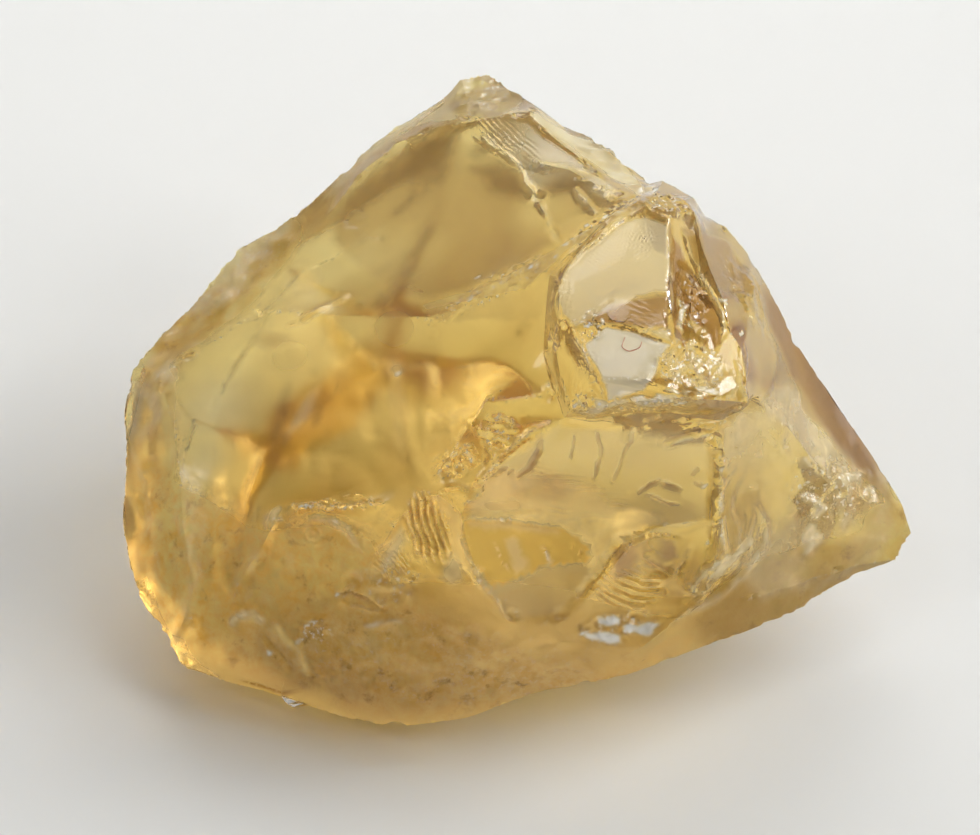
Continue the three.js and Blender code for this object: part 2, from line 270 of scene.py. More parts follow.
def in_outline(flat, outline):
    """True for each point that lies inside a closed outline."""
    inside = np.zeros(len(flat), bool)
    x, y = flat.T
    for (ax, ay), (bx, by) in zip(outline, outline[1:] + outline[:1]):
        if ay != by:
            crosses = ((ay > y) != (by > y)) & (x < (bx - ax) * (y - ay) / (by - ay) + ax)
            inside ^= crosses
    return inside


def near_points(flat, places, reach):
    """The numbers of the points that lie within reach of the box round some places."""
    places = np.array(places, float)
    low, high = places.min(axis=0) - reach, places.max(axis=0) + reach
    return np.flatnonzero(((flat >= low) & (flat <= high)).all(axis=1))


def window(flat, zone):
    """1 in the middle of a zone, falling smoothly to 0 at its edge."""
    share = np.zeros(len(flat))
    if "outline" in zone:
        outline = zone["outline"]
        found = near_points(flat, outline, 0)
        gap, _, _ = line_gap(flat[found], outline + outline[:1])
        inside = in_outline(flat[found], outline)
        share[found] = smooth(gap / zone["edge"]) * inside
        return share
    found = near_points(flat, [zone["at"]], max(zone["size"]))
    turn = math.radians(zone["turn"])
    away = flat[found] - zone["at"]
    along = (away[:, 0] * math.cos(turn) + away[:, 1] * math.sin(turn)) / zone["size"][0]
    across = (away[:, 1] * math.cos(turn) - away[:, 0] * math.sin(turn)) / zone["size"][1]
    share[found] = smooth((1 - np.hypot(along, across)) / zone["fade"])
    return share


# ------------------------------------------------------------- what is on the front
# Lengths in the lists below are in hundredths of a millimetre, all but grain, which breaks
# the tints up into blotches so many millimetres across. The pale tint is bruised white, and
# also painted sheen, reflections and highlights; the gold tint is a bright golden lining, and
# also painted glow and glints of light inside; amber is a warmer body colour; the stain tint is
# brown, and also painted shade in recesses, hollows and ripple troughs; skin is the old mottled
# surface and frost is roughness, all from 0 to 1.
PER_MM = 100


def scaled(*lengths):
    return tuple(length / PER_MM for length in lengths)


def oval(x, y, across, up, turn=0, fade=0.4, **finish):
    """An oval zone: its middle, its two half-lengths, its turn in degrees, and the share of
    it over which it fades out."""
    return dict(finish, at=scaled(x, y), size=scaled(across, up), turn=turn, fade=fade)


def shape(edge, *outline, **finish):
    """A zone with a closed outline, which fades out over an edge inside it."""
    return dict(finish, edge=edge / PER_MM, outline=[scaled(*place) for place in outline])


def crumble(x, y, across, up, cell, tilt, turn=0):
    """An oval of small dished chips, each about a cell wide and sloping up to a tilt."""
    return dict(oval(x, y, across, up, turn), cell=cell / PER_MM, tilt=tilt)


def rings(x, y, across, up, centre, wave, height, turn=0, stray=0.5, **tints):
    """An oval of ripples that run about a centre, with tints in their troughs, such as painted shade."""
    zone = oval(x, y, across, up, turn, **tints)
    return dict(zone, centre=scaled(*centre), wave=wave / PER_MM, height=height / PER_MM, stray=stray)


def stroke(left, right, height, *line, **tints):
    """A ridge, or a groove where the height is below 0, that is so wide on its left and its
    right."""
    places = [scaled(*place) for place in line]
    return dict(tints, width=scaled(left, right), height=height / PER_MM, line=places)


CRUMBLES = [
    crumble(455, 112, 86, 73, cell=27, tilt=0.4),  # chipped corner of the knob
    crumble(459, 267, 41, 82, cell=22, tilt=0.35),  # floor of the recess
    crumble(405, 483, 64, 27, cell=14, tilt=0.5, turn=-15),  # bumps over the knob
    crumble(236, 210, 32, 41, cell=11, tilt=0.5),  # chip on the fold
    crumble(223, 35, 59, 32, cell=12, tilt=0.4),  # knob's lower left corner
    crumble(364, 28, 114, 20, cell=11, tilt=0.4, turn=6),  # knob's lower edge
    crumble(18, -33, 50, 55, cell=20, tilt=0.5, turn=60),  # upper bit of the crumbled ridge
    crumble(-73, -101, 64, 36, cell=24, tilt=0.4, turn=35),  # lower bit of the crumbled ridge
    crumble(-223, -381, 82, 59, cell=26, tilt=0.3, turn=20),  # shelf under the crumbled ridge
    crumble(291, -472, 114, 41, cell=20, tilt=0.35, turn=8),  # broken foot of the front
    crumble(764, -169, 100, 82, cell=42, tilt=0.3),  # crumpled right face
    crumble(-18, 740, 77, 50, cell=24, tilt=0.3),  # peak
    crumble(23, 301, 182, 32, cell=12, tilt=0.3, turn=28),  # edge under the olive face
    crumble(250, 444, 141, 20, cell=10, tilt=0.3, turn=33),  # edge beside the knob
    crumble(-352, -197, 136, 14, cell=10, tilt=0.45, turn=1),  # crackle line
    crumble(-395, -483, 41, 32, cell=14, tilt=0.4),  # angular bits at the foot
    crumble(-602, 301, 250, 50, cell=50, tilt=0.12, turn=40),  # upper left rim
    crumble(-795, 40, 36, 136, cell=50, tilt=0.1, turn=-8),  # left rim
    crumble(273, 585, 136, 41, cell=40, tilt=0.14, turn=-35),  # right slope
    crumble(580, 290, 36, 136, cell=30, tilt=0.16, turn=25),  # rim right of the knob
    crumble(-45, -562, 477, 114, cell=32, tilt=0.13, turn=-3),  # bottom skin
]

RIPPLES = [
    rings(286, 381, 91, 59, centre=(286, 431), wave=8.5, height=0.8),  # arcs across the knob's window
    # fine lines at the window's top
    rings(359, 431, 36, 50, centre=(932, -6), wave=7, height=0.8, stray=0.3),
    rings(341, 226, 68, 41, centre=(159, -324), wave=12, height=1, turn=-20),  # lines on the tan wedge
    # lines beside the bright facet
    rings(216, 108, 36, 77, centre=(1386, -119), wave=9, height=1.2, turn=-20, stray=0.4),
    # lines in the recess
    rings(477, 176, 20, 32, centre=(-1568, 199), wave=8.5, height=1.5, stray=0.2),
    # lines on the right wall
    rings(573, 103, 18, 91, centre=(-2023, 103), wave=9, height=1.4, stray=0.3),
    # lines across the band
    rings(34, 626, 109, 50, centre=(932, 1631), wave=10, height=1.2, turn=-35, stray=0.5),
    # rings under the chip scar
    rings(307, -388, 95, 50, centre=(359, -267), wave=16, height=2, stray=0.3),
    # hackle, with painted shade in its troughs
    rings(-141, -251, 55, 95, centre=(1350, 150), wave=15, height=6, turn=15, stray=0.6, stain=1.0),
    rings(-223, -335, 50, 41, centre=(477, 267), wave=10, height=2, stray=0.4),  # fine hackle
    rings(-402, -265, 32, 36, centre=(-402, -265), wave=16, height=3),  # rings of the crackle
    rings(-132, 194, 20, 18, centre=(-132, 194), wave=10, height=1.5),  # rings on the gold
    # weave on the front
    rings(250, -142, 216, 114, centre=(250, 1858), wave=11, height=0.3, stray=0.8),
    rings(173, 267, 18, 114, centre=(1614, -6), wave=10, height=0.8),  # lines on the knob's outer left
    # lines beside the spine
    rings(557, -233, 68, 159, centre=(1841, -415), wave=30, height=2, stray=1.0),
]

STROKES = [
    # double edge of the front dish
    stroke(7, 10, 5, (159, -6), (91, -33), (23, -92), (-23, -147), (-41, -174), pale=0.35),
    stroke(6, 16, -7, (114, -28), (116, -74), (91, -115), (59, -140), stain=1),  # S groove
    stroke(5, 7, -4, (189, -33), (186, -65), (182, -101), stain=0.62),  # groove in the front dish
    # groove in the front dish
    stroke(6, 9, -6, (245, -28), (255, -69), (248, -101), (239, -138), stain=1),
    stroke(5, 9, -5, (320, -51), (300, -97), (282, -156), stain=0.88),  # groove in the front dish
    stroke(5, 30, 8, (359, -24), (334, -38), (314, -67), pale=0.3),  # flap of the front dish
    stroke(6, 8, -5, (391, -60), (441, -38), (473, -28), (509, -24), stain=1),  # curved line
    stroke(5, 8, 4, (395, -69), (445, -49), (509, -33), pale=0.5),  # curved line's light edge
    stroke(5, 5, -3, (259, -22), (282, -15), (309, -17), stain=0.75),  # short line at the top
    stroke(5, 8, -4, (11, -124), (45, -112), stain=0.75),  # short hackle
    stroke(5, 6, -3, (-14, -142), (27, -119), stain=0.5),  # short hackle
    stroke(5, 6, -3, (32, -135), (55, -119), stain=0.5),  # short hackle
    # golden block's top, a painted bright edge
    stroke(5, 10, 6, (-61, -233), (36, -235), (91, -242), (166, -253), gold=1.0, pale=0.1),
    # golden block's left edge, a painted bright edge
    stroke(5, 12, 6, (-61, -236), (-66, -272), (-41, -328), (-11, -392), (39, -449), (64, -467),
        gold=1.0, pale=0.2),
    stroke(4, 5, -3, (11, -283), (27, -328), (48, -356), gold=0.9, pale=0.3),  # stripe of the block
    stroke(4, 5, -4, (120, -284), (125, -306), (134, -335), pale=0.5),  # stripe of the block
    stroke(4, 6, -5, (186, -274), (184, -306), (189, -342), stain=0.75),  # stripe of the block
    stroke(4, 5, -5, (205, -278), (202, -306), (207, -338), stain=0.5),  # stripe of the block
    stroke(5, 12, -6, (334, -169), (359, -151), (389, -140), stain=1),  # arrowhead's upper side
    stroke(5, 14, -7, (386, -147), (414, -156), (439, -165), stain=0.88),  # arrowhead's middle
    stroke(8, 5, -5, (348, -174), (386, -188), (432, -201), stain=0.75),  # arrowhead's lower side
    stroke(5, 8, -6, (457, -133), (473, -112), stain=1),  # nick
    stroke(5, 5, -5, (461, -149), (477, -156), (495, -153), stain=0.88),  # nick
    # chip scar's rim
    stroke(6, 20, -10, (432, -272), (398, -262), (352, -274), (300, -285), (266, -324), (245, -358),
        (209, -397), (173, -442), pale=0.25),
    stroke(12, 25, -12, (341, -315), (377, -338), (414, -347), stain=0.88),  # chip scar's shadow
    stroke(10, 10, -6, (455, -290), (445, -328), (414, -369), stain=0.5),  # chip scar's right side
    stroke(9, 9, 7, (516, -28), (527, -97), (523, -176), (527, -256), (536, -315), pale=0.45),  # spine
    # groove beside the spine
    stroke(6, 10, -6, (502, -51), (509, -119), (505, -188), (509, -278), stain=0.56),
    # outer loop
    stroke(9, 14, 8, (423, -460), (477, -428), (527, -401), (580, -351), (618, -297), (625, -238),
        (605, -197), pale=0.45),
    # inner loop
    stroke(8, 12, 8, (455, -419), (464, -381), (491, -342), (536, -324), (595, -292), pale=0.5),
    stroke(6, 10, 6, (473, -410), (505, -369), (545, -342), pale=0.4),  # middle loop
    stroke(8, 10, -6, (486, -406), (527, -374), (573, -338), stain=0.62),  # groove between the loops
    stroke(20, 30, 10, (668, -17), (650, -56), (682, -101), pale=0.2),  # fold of the right face
    # flake of the right face
    stroke(12, 20, 12, (777, -151), (809, -128), (841, -133), (868, -119), pale=0.45),
    stroke(20, 20, 10, (705, -101), (739, -119), (768, -101), pale=0.3),  # flake of the right face
    # flake of the right face
    stroke(12, 20, 10, (695, -188), (732, -183), (755, -201), (732, -233), pale=0.35),
    stroke(10, 20, 10, (705, -315), (732, -285), (764, -260), pale=0.4),  # flake of the right face
    stroke(15, 20, 8, (791, -188), (809, -222), (791, -265), pale=0.25),  # flake of the right face
    stroke(25, 25, -10, (677, -174), (705, -210), (700, -256), stain=0.5),  # hollow of the right face, darkened with painted shade
    # rim of the knob's window
    stroke(6, 10, 6, (352, 483), (264, 422), (211, 376), (173, 326), (155, 276), (159, 222), pale=0.35),
    # groove outside the window
    stroke(10, 8, -7, (295, 458), (227, 408), (186, 365), (155, 308), (139, 240), stain=0.88),
    stroke(5, 14, -8, (177, 197), (223, 231), (277, 267), stain=0.88),  # fold across the window
    # lower fold of the window
    stroke(5, 9, -5, (264, 208), (318, 192), (368, 176), (418, 165), stain=0.75),
    stroke(5, 8, 4, (341, 190), (373, 208), (407, 219), pale=0.3),  # pale triangle's edge
    # wall left of the recess, darkened with painted shade
    stroke(9, 7, -9, (402, 467), (409, 381), (405, 290), (407, 210), (418, 165), stain=1),
    # recess, right edge
    stroke(6, 9, 8, (434, 422), (459, 372), (484, 317), (505, 276), (527, 240), (534, 199), (525, 162),
        pale=0.35),
    stroke(5, 10, 6, (423, 340), (455, 322), (477, 290), pale=0.3),  # recess, second ridge
    stroke(6, 9, 9, (455, 258), (434, 240), (430, 212), (439, 190), pale=0.9),  # white crescent
    stroke(5, 15, 8, (455, 267), (473, 226), (486, 194), stain=0.38),  # piece in the recess
    # bright facet's left edge
    stroke(5, 7, 6, (184, 192), (209, 162), (232, 117), (250, 76), (257, 40), pale=0.4),
    # bright facet's right edge
    stroke(5, 8, -6, (418, 165), (400, 140), (384, 112), (373, 85), (341, 62), stain=0.75),
    # sparkling lower edge, painted highlights
    stroke(8, 10, 6, (223, -1), (259, 26), (318, 40), (386, 44), (432, 31), (468, 31), pale=0.8),
    stroke(7, 7, 7, (484, 67), (500, 60), (518, 69), pale=1.0),  # bright flake, a painted highlight
    stroke(6, 6, 5, (432, 51), (414, 60), (395, 65), pale=0.8),  # bright flake, a painted highlight
    stroke(5, 6, 7, (459, 149), (450, 126), (468, 103), pale=0.6),  # bright flake, a painted highlight
    stroke(6, 6, 5, (514, 272), (527, 265), (541, 258), pale=0.9),  # painted glint right of the recess
    # knob's lower wall
    stroke(12, 16, -8, (250, -6), (341, 3), (455, -1), (545, 8), (582, 31), stain=0.5),
    stroke(5, 8, 5, (564, 140), (568, 85), (584, 31), pale=0.3),  # right wall's edge
    stroke(8, 12, -8, (514, 299), (559, 290), (607, 285), stain=0.5),  # grey face's lower edge
    # edge of the band
    stroke(7, 12, 5, (-45, 649), (23, 612), (68, 572), (86, 535), (125, 460), (164, 390), pale=0.25),
    stroke(6, 10, -6, (95, 558), (114, 574), (141, 567), stain=0.88),  # small dish's top
    stroke(8, 12, 6, (189, 522), (214, 494), (241, 467), pale=0.35),  # streak
    # ring crackle
    stroke(5, 6, -5, (-323, 467), (-327, 449), (-318, 433), (-298, 433), (-282, 444), (-289, 465),
        (-309, 474), (-323, 467), stain=0.69),
    # tail of the ring crackle
    stroke(5, 5, -4, (-300, 426), (-277, 419), (-282, 408), (-259, 410), (-243, 401), stain=0.69),
    # strip along the upper left
    stroke(12, 30, 5, (-382, 499), (-314, 578), (-216, 665), (-102, 715), pale=0.3),
    stroke(10, 14, 6, (-466, 203), (-391, 242), (-318, 278), gold=0.8),  # ray
    # arc of the crackle, a painted golden glint
    stroke(8, 12, 7, (-414, -228), (-368, -228), (-327, -249), (-291, -306), gold=1.0, pale=0.2),
    # crackle line
    stroke(6, 8, 6, (-468, -201), (-409, -194), (-352, -199), (-295, -190), (-232, -194), gold=0.7),
    # bright spot's edge, a painted golden glint
    stroke(10, 16, 6, (-473, -201), (-491, -224), (-500, -251), gold=1.0, pale=0.25),
    stroke(14, 20, 6, (-586, -388), (-550, -328), (-509, -292), pale=0.12, gold=0.25),  # pale wisp
    # white curl
    stroke(10, 16, 10, (-591, -478), (-573, -451), (-541, -449), (-509, -469), pale=0.3, gold=0.6),
    # bright streak, a painted internal reflection
    stroke(12, 18, 10, (-500, -465), (-466, -499), (-432, -522), (-425, -551), (-411, -588), gold=1.0,
        pale=0.12),
    # groove beside the bright streak
    stroke(12, 12, -8, (-518, -488), (-477, -533), (-445, -578), stain=0.5),
    # line down the left rim
    stroke(10, 20, 8, (-705, -199), (-689, -283), (-666, -369), (-691, -460), (-723, -540), pale=0.1,
        gold=0.4),
    stroke(5, 8, -7, (-568, -597), (-505, -615), (-441, -638), stain=1),  # brown line at the foot
    # dark leaf's top
    stroke(5, 10, -8, (-352, -403), (-323, -392), (-282, -410), (-236, -440), stain=0.88),
    stroke(6, 6, 5, (-352, -408), (-314, -428), (-241, -444), gold=0.5),  # dark leaf's edge
    stroke(8, 12, 6, (-291, -474), (-250, -465), (-195, -460), pale=0.4, gold=0.3),  # white smudge
    # leaf of the crumbled ridge, a painted golden glint
    stroke(6, 10, 7, (-120, -138), (-105, -101), (-73, -74), (-36, -56), gold=0.6),
    stroke(6, 8, 6, (-114, -165), (-77, -156), (-41, -169), gold=0.8),  # leaf of the crumbled ridge, a painted golden glint
    stroke(5, 10, 7, (-9, -1), (18, 8), (50, -6), (55, -33), gold=0.7),  # bit of the crumbled ridge, a painted golden glint
    stroke(5, 8, 8, (5, -51), (23, -38), (36, -56), gold=1.0),  # bit of the crumbled ridge, a painted golden glint
    stroke(5, 8, -8, (-18, -69), (0, -88), (-14, -110), stain=0.88),  # bit of the crumbled ridge
]

PATCHES = [
    oval(-455, 140, 360, 290, turn=20, frost=0.28, fade=1.0),  # hazy left face
    # olive face, darkened with painted shade
    shape(30, (-64, 653), (-23, 638), (45, 592), (84, 547), (125, 472), (164, 392), (84, 347),
        (34, 312), (-45, 274), (-159, 251), (-216, 278), (-318, 335), (-375, 403), (-348, 501),
        (-261, 585), (-170, 653), frost=0.27, stain=0.78, amber=0.3, grain=1.6),
    # front facet
    shape(15, (148, -10), (239, -22), (364, -22), (489, -28), (505, -85), (500, -165), (500, -233),
        (432, -256), (352, -256), (284, -301), (239, -369), (159, -449), (68, -465), (-11, -408),
        (-52, -335), (-68, -256), (-41, -176), (-7, -124), (91, -56), frost=0.2, pale=0.24, gold=0.12),
    # right face
    shape(30, (511, -17), (580, 44), (682, 103), (773, -17), (886, -153), (936, -244), (886, -335),
        (750, -397), (614, -428), (527, -347), (511, -165), frost=0.22, pale=0.24, stain=0.18,
        skin=0.35, grain=2.0),
    # old skin of the lower left
    shape(90, (-845, -51), (-739, -62), (-625, -119), (-518, -188), (-364, -176), (-223, -222),
        (-148, -381), (68, -488), (250, -540), (477, -472), (682, -415), (659, -506), (455, -597),
        (250, -653), (-23, -710), (-250, -722), (-545, -619), (-773, -551), (-845, -392), (-868, -188),
        skin=0.95, grain=9.0),
    # tan of the right face
    shape(40, (682, -119), (739, -51), (841, -28), (943, -233), (932, -324), (841, -392), (659, -472),
        (545, -438), (648, -324), skin=0.7, grain=3.0),
    oval(915, -265, 85, 105, skin=0.7, amber=0.7, stain=0.4, frost=0.35, fade=0.5),  # tan tip
    # skin of the bottom
    oval(-23, -560, 810, 230, turn=-4, fade=0.45, frost=0.42, stain=0.42, grain=9.0),
    oval(-23, -568, 780, 210, turn=-4, stain=0.33, grain=0.3),  # mottled skin
    oval(-625, -483, 159, 159, frost=0.3, stain=0.18, grain=0.6, fade=0.9),  # skin at the left foot
    oval(-773, -119, 77, 364, turn=-6, frost=0.3, skin=0.6, stain=0.15, grain=0.35),  # left rim
    # upper left rim
    oval(-609, 290, 295, 77, turn=42, frost=0.4, skin=0.8, amber=0.9, stain=0.4, grain=0.4),
    oval(-602, 324, 250, 59, turn=42, pale=0.3, grain=0.45),  # bloom on the upper left rim
    oval(-773, 51, 59, 136, turn=-20, pale=0.3, grain=0.35),  # bloom on the left rim
    oval(755, 74, 64, 341, turn=31, frost=0.4, skin=0.3, amber=1.0, stain=1.0),  # right rim
    oval(682, -392, 318, 102, turn=22, frost=0.4, skin=0.4, amber=0.9, stain=0.55),  # right foot
    oval(-18, 733, 114, 64, frost=0.4, pale=0.22, stain=0.6, grain=0.3),  # peak
    oval(595, -158, 27, 14, gold=0.4, grain=0.3, fade=0.9),  # orange spot
    # chipped corner of the knob
    shape(12, (391, 153), (455, 176), (527, 149), (577, 90), (564, 35), (477, 31), (405, 58),
        (375, 103), pale=0.32, grain=0.16),
    # mottled foot of the front
    shape(30, (-148, -324), (-45, -415), (68, -483), (205, -528), (341, -551), (523, -472), (477, -415),
        (295, -442), (159, -506), (68, -465), (-23, -392), (-68, -324), skin=0.7, grain=4.0),
    oval(405, -528, 77, 27, turn=24, gold=0.6, grain=0.5),  # yellow patch
    # lighter foot of the olive face
    shape(50, (-216, 392), (-91, 422), (68, 392), (23, 331), (-136, 290), (-273, 324), gold=0.14,
        grain=1.2),
    # band beside the olive face, lightened with a painted sheen
    shape(10, (-23, 665), (34, 685), (84, 676), (141, 626), (232, 569), (295, 517), (266, 494),
        (182, 528), (125, 494), (84, 540), (57, 585), (-23, 638), frost=0.25, pale=0.35, grain=1.6),
    # brown end of the band
    shape(12, (102, 562), (193, 574), (334, 494), (266, 467), (216, 438), (170, 390), (125, 467),
        frost=0.2, stain=0.33, grain=0.8),
    # strip outside the olive face
    shape(10, (-364, 494), (-205, 653), (-91, 724), (-64, 672), (-170, 660), (-261, 592), (-348, 506),
        frost=0.35, pale=0.3, grain=0.8),
    # right slope
    shape(10, (91, 710), (182, 647), (273, 612), (357, 528), (341, 499), (250, 562), (159, 624),
        (91, 676), frost=0.35, pale=0.42, grain=0.5),
    # border above the knob
    shape(8, (345, 503), (170, 403), (84, 353), (-45, 290), (-159, 260), (-148, 240), (-45, 260),
        (84, 290), (170, 369), (250, 422), (364, 478), frost=0.35, stain=0.41, grain=0.3),
    # tan face left of the knob
    shape(10, (170, 381), (150, 267), (136, 217), (-18, 217), (-102, 212), (-45, 267), (84, 294),
        frost=0.2, stain=0.3, grain=0.7),
    # brown triangle
    shape(8, (-159, 256), (-45, 274), (27, 303), (-102, 217), (-143, 222), stain=0.44, gold=0.2,
        grain=1.0),
    # knob's window, lightened with a painted reflection
    shape(10, (159, 233), (150, 290), (173, 335), (205, 376), (250, 412), (314, 453), (352, 462),
        (405, 440), (411, 335), (411, 285), (341, 267), (250, 226), (193, 199), frost=0.1, pale=0.4,
        stain=0.28),
    # tan floor of the window
    shape(12, (193, 203), (273, 262), (411, 285), (414, 199), (341, 199), (259, 208), frost=0.1,
        stain=0.95, pale=0.1, grain=3.5),
    # pale triangle
    shape(8, (345, 197), (414, 208), (414, 167), (386, 176), frost=0.1, pale=0.35, grain=2.0),
    # bright facet, whitened with a painted reflection
    shape(6, (214, 165), (259, 206), (345, 188), (416, 165), (386, 135), (377, 94), (352, 62),
        (300, 44), (264, 35), (259, 67), (250, 103), (227, 140), frost=0.05, pale=0.74),
    # facet left of the bright one
    shape(10, (164, 188), (214, 165), (250, 103), (259, 40), (227, 28), (186, 67), (164, 131),
        frost=0.15, stain=0.18, pale=0.12, grain=0.6),
    # amber wall of the recess, darkened with painted shade
    shape(6, (405, 435), (455, 353), (486, 294), (527, 226), (532, 162), (505, 149), (486, 199),
        (455, 217), (427, 267), (414, 167), (409, 290), frost=0.15, stain=1.0),
    # grey face over the recess
    shape(10, (423, 435), (477, 431), (541, 403), (586, 340), (618, 276), (550, 272), (500, 294),
        (473, 340), frost=0.25, stain=0.78),
    # golden block
    shape(5, (-64, -233), (50, -233), (164, -247), (227, -290), (227, -328), (114, -347), (50, -374),
        (0, -392), (-41, -328), (-66, -272), gold=1.0),
    # bright top of the block, a painted highlight
    shape(8, (-57, -236), (39, -238), (159, -251), (166, -272), (39, -260), (-55, -256), pale=0.14),
    shape(5, (30, -272), (61, -267), (89, -347), (52, -360), pale=0.2),  # light stripe of the block
    # under the golden block
    shape(12, (227, -338), (114, -358), (50, -385), (0, -401), (39, -449), (114, -478), (193, -419),
        gold=0.25, stain=0.35, grain=2.0),
    # brown smear over the block
    shape(14, (-27, -199), (5, -188), (73, -190), (77, -215), (5, -219), stain=0.5),
    # grey patch right of the hackle
    shape(25, (-98, -290), (-64, -301), (-41, -358), (-77, -401), (-127, -369), pale=0.38, grain=1.2),
    # grey patch left of the hackle
    shape(25, (-259, -324), (-200, -219), (-177, -290), (-211, -342), (-250, -362), pale=0.38,
        grain=0.8),
    # orange under the hackle
    shape(10, (-205, -362), (-136, -353), (-114, -426), (-189, -444), (-250, -422), gold=0.45,
        grain=1.0),
    # light flake by the chip scar
    shape(10, (277, -301), (352, -256), (425, -278), (430, -324), (341, -365), (277, -374), pale=0.12,
        stain=0.9, grain=0.6),
    # brown hollow by the chip scar, darkened with painted shade
    shape(10, (341, -347), (436, -324), (425, -383), (352, -397), stain=0.62, grain=1.0),
    # grey veil on the right face, a painted sheen
    shape(15, (532, -56), (614, -60), (650, -119), (623, -147), (568, -156), (532, -142), pale=0.36,
        grain=1.5),
    # cream cloud on the right face
    shape(20, (591, 28), (668, 56), (686, -19), (668, -78), (627, -88), (595, -56), pale=0.36,
        stain=0.12, grain=1.5),
    # flake of the right face
    shape(12, (686, -88), (768, -78), (773, -128), (736, -135), (705, -147), pale=0.36, amber=0.3,
        grain=0.35),
    # flake of the right face
    shape(12, (764, -147), (823, -101), (868, -122), (845, -147), (857, -178), (818, -192), (807, -265),
        (777, -201), pale=0.36, amber=0.3, grain=0.35),
    # flake of the right face
    shape(10, (723, -233), (764, -256), (709, -324), (691, -315), pale=0.36, amber=0.3, grain=0.35),
    # amber edge of the right face
    shape(12, (705, 103), (732, 67), (818, -28), (909, -165), (945, -233), (918, -238), (859, -133),
        (786, -60), (705, 17), frost=0.35, amber=0.8, stain=0.6),
    # band of pale loops
    shape(8, (459, -424), (495, -351), (545, -310), (595, -251), (609, -206), (632, -215), (618, -269),
        (564, -328), (514, -378), (477, -428), pale=0.55, grain=0.5),
    oval(-782, -106, 42, 30, gold=1.0, fade=0.9),  # golden spot on the left rim, a painted glow
    oval(-795, -188, 32, 91, gold=0.6, fade=0.9),  # golden glow on the left rim, painted
    # orange behind the left rim
    shape(50, (-682, -165), (-545, -142), (-489, -256), (-523, -392), (-648, -426), (-705, -301),
        amber=0.7, stain=0.35, grain=2.0),
    oval(-423, 317, 59, 50, gold=0.45, stain=0.22, fade=0.9),  # orange glow, painted
    oval(-236, 531, 59, 36, turn=15, stain=0.52, grain=1.0, fade=0.9),  # brown patch
    oval(-495, 174, 64, 27, stain=0.55, fade=0.9),  # dark blur, a painted shadow
    oval(-475, 6, 23, 95, turn=-14, stain=0.55, fade=0.9),  # brown streak
    oval(-395, 6, 18, 41, turn=-20, stain=0.45, fade=0.9),  # brown streak
    oval(-425, 12, 20, 109, turn=-30, pale=0.3, fade=0.9),  # pale streak
    oval(-620, 15, 165, 130, turn=25, pale=0.3, fade=1.0),  # pale zone, painted light of the bright floor seen through the stone
    oval(-645, -85, 105, 105, pale=0.24, fade=1.0),  # foot of the pale zone, painted light as well
    oval(-215, 205, 130, 120, frost=0.32, fade=1.0),  # haze over the brown streak
    oval(-211, 28, 27, 159, turn=4, gold=0.45, fade=0.9),  # gold band
    oval(-214, 108, 23, 18, gold=0.7, pale=0.2, fade=0.9),  # gold spot, a painted glint of light inside
    oval(-130, 90, 23, 64, turn=10, stain=0.25, fade=0.9),  # grey curve
    oval(-260, -520, 160, 80, turn=-8, gold=0.25, fade=0.9),  # lighter skin
    oval(-330, -528, 45, 41, stain=0.44, grain=0.15),  # brown grains
    # white patch of the foot
    shape(10, (234, -444), (266, -450), (280, -440), (302, -455), (296, -472), (266, -480), (243, -466),
        pale=0.96),
    # white patch of the foot
    shape(10, (193, -478), (230, -486), (261, -482), (300, -492), (305, -514), (270, -522), (248, -513),
        (216, -506), pale=0.94),
    # white patch of the foot
    shape(10, (298, -468), (320, -460), (336, -468), (361, -458), (398, -469), (375, -484), (361, -502),
        (330, -492), (305, -497), pale=0.94),
    oval(39, -192, 36, 14, stain=0.44, grain=1.0, fade=0.9),  # bruise over the gold
    oval(227, 26, 50, 23, pale=0.6, grain=0.15),  # white corner of the knob
    oval(364, 40, 105, 16, turn=2, pale=0.6, grain=0.12),  # knob's lower edge
]

# Painted highlights: small white ovals where the edges sparkle.
PAINTED_SPARKLES = [
    (486, 67), (514, 58), (432, 244), (532, 267), (573, 188), (527, -8), (493, -285), (489, -156),
    (261, 458), (220, 440), (170, 392), (148, 369), (95, 344), (-23, 319), (-45, 269), (266, 524),
    (341, 519), (207, -490), (375, 517), (132, 74), (193, 28), (-209, 99), (386, 51), (-500, -533),
    (-432, -506), (-350, -403),
]
for spot in PAINTED_SPARKLES:
    PATCHES.append(oval(*spot, 11, 5, turn=30, fade=0.8, pale=1.0))

SOFT_EDGES = [
    oval(-190, -420, 610, 90, fade=0.5),  # upper edge of the skin
    oval(-670, -500, 130, 130, fade=0.6),  # left end of the skin
]


# ------------------------------------------------------------- relief
FRONT = 0.02
FRONT_BLEND = 0.1
DISH_SPACING = 0.8
STEEPEST = 1.5
RING_STRAY = (0.9, 11)
RING_UNEVEN = (0.5, 12)
RING_HEIGHT = 0.6
RIDGE_SCARS = 420
SCAR_SIZES = (0.08, 0.4)
SCAR_DEPTHS = (0.1, 0.22)
SCAR_STRAY = 0.4
SCAR_REACH = 1.6
SCAR_SKEW = 3
SCAR_FACING = -0.3
STROKE_HEIGHT = 0.8
STROKE_STRAY = 0.5
STROKE_STRAYS = (0.3, 3)
SKIN_LUMPS = ((0.5, 0.03, 4), (0.22, 0.015, 5))


def front_share(normals):
    """1 where the surface faces the camera, 0 where it faces away from it."""
    return smooth((normals[:, 2] - FRONT) / FRONT_BLEND)


def spaced(points, gap):
    """Points picked at random, none nearer to another than the gap."""
    free = np.ones(len(points), bool)
    picked = []
    for place in rng.permutation(len(points)):
        if free[place]:
            picked.append(points[place])
            free &= ((points - points[place]) ** 2).sum(axis=1) > gap ** 2
    return picked


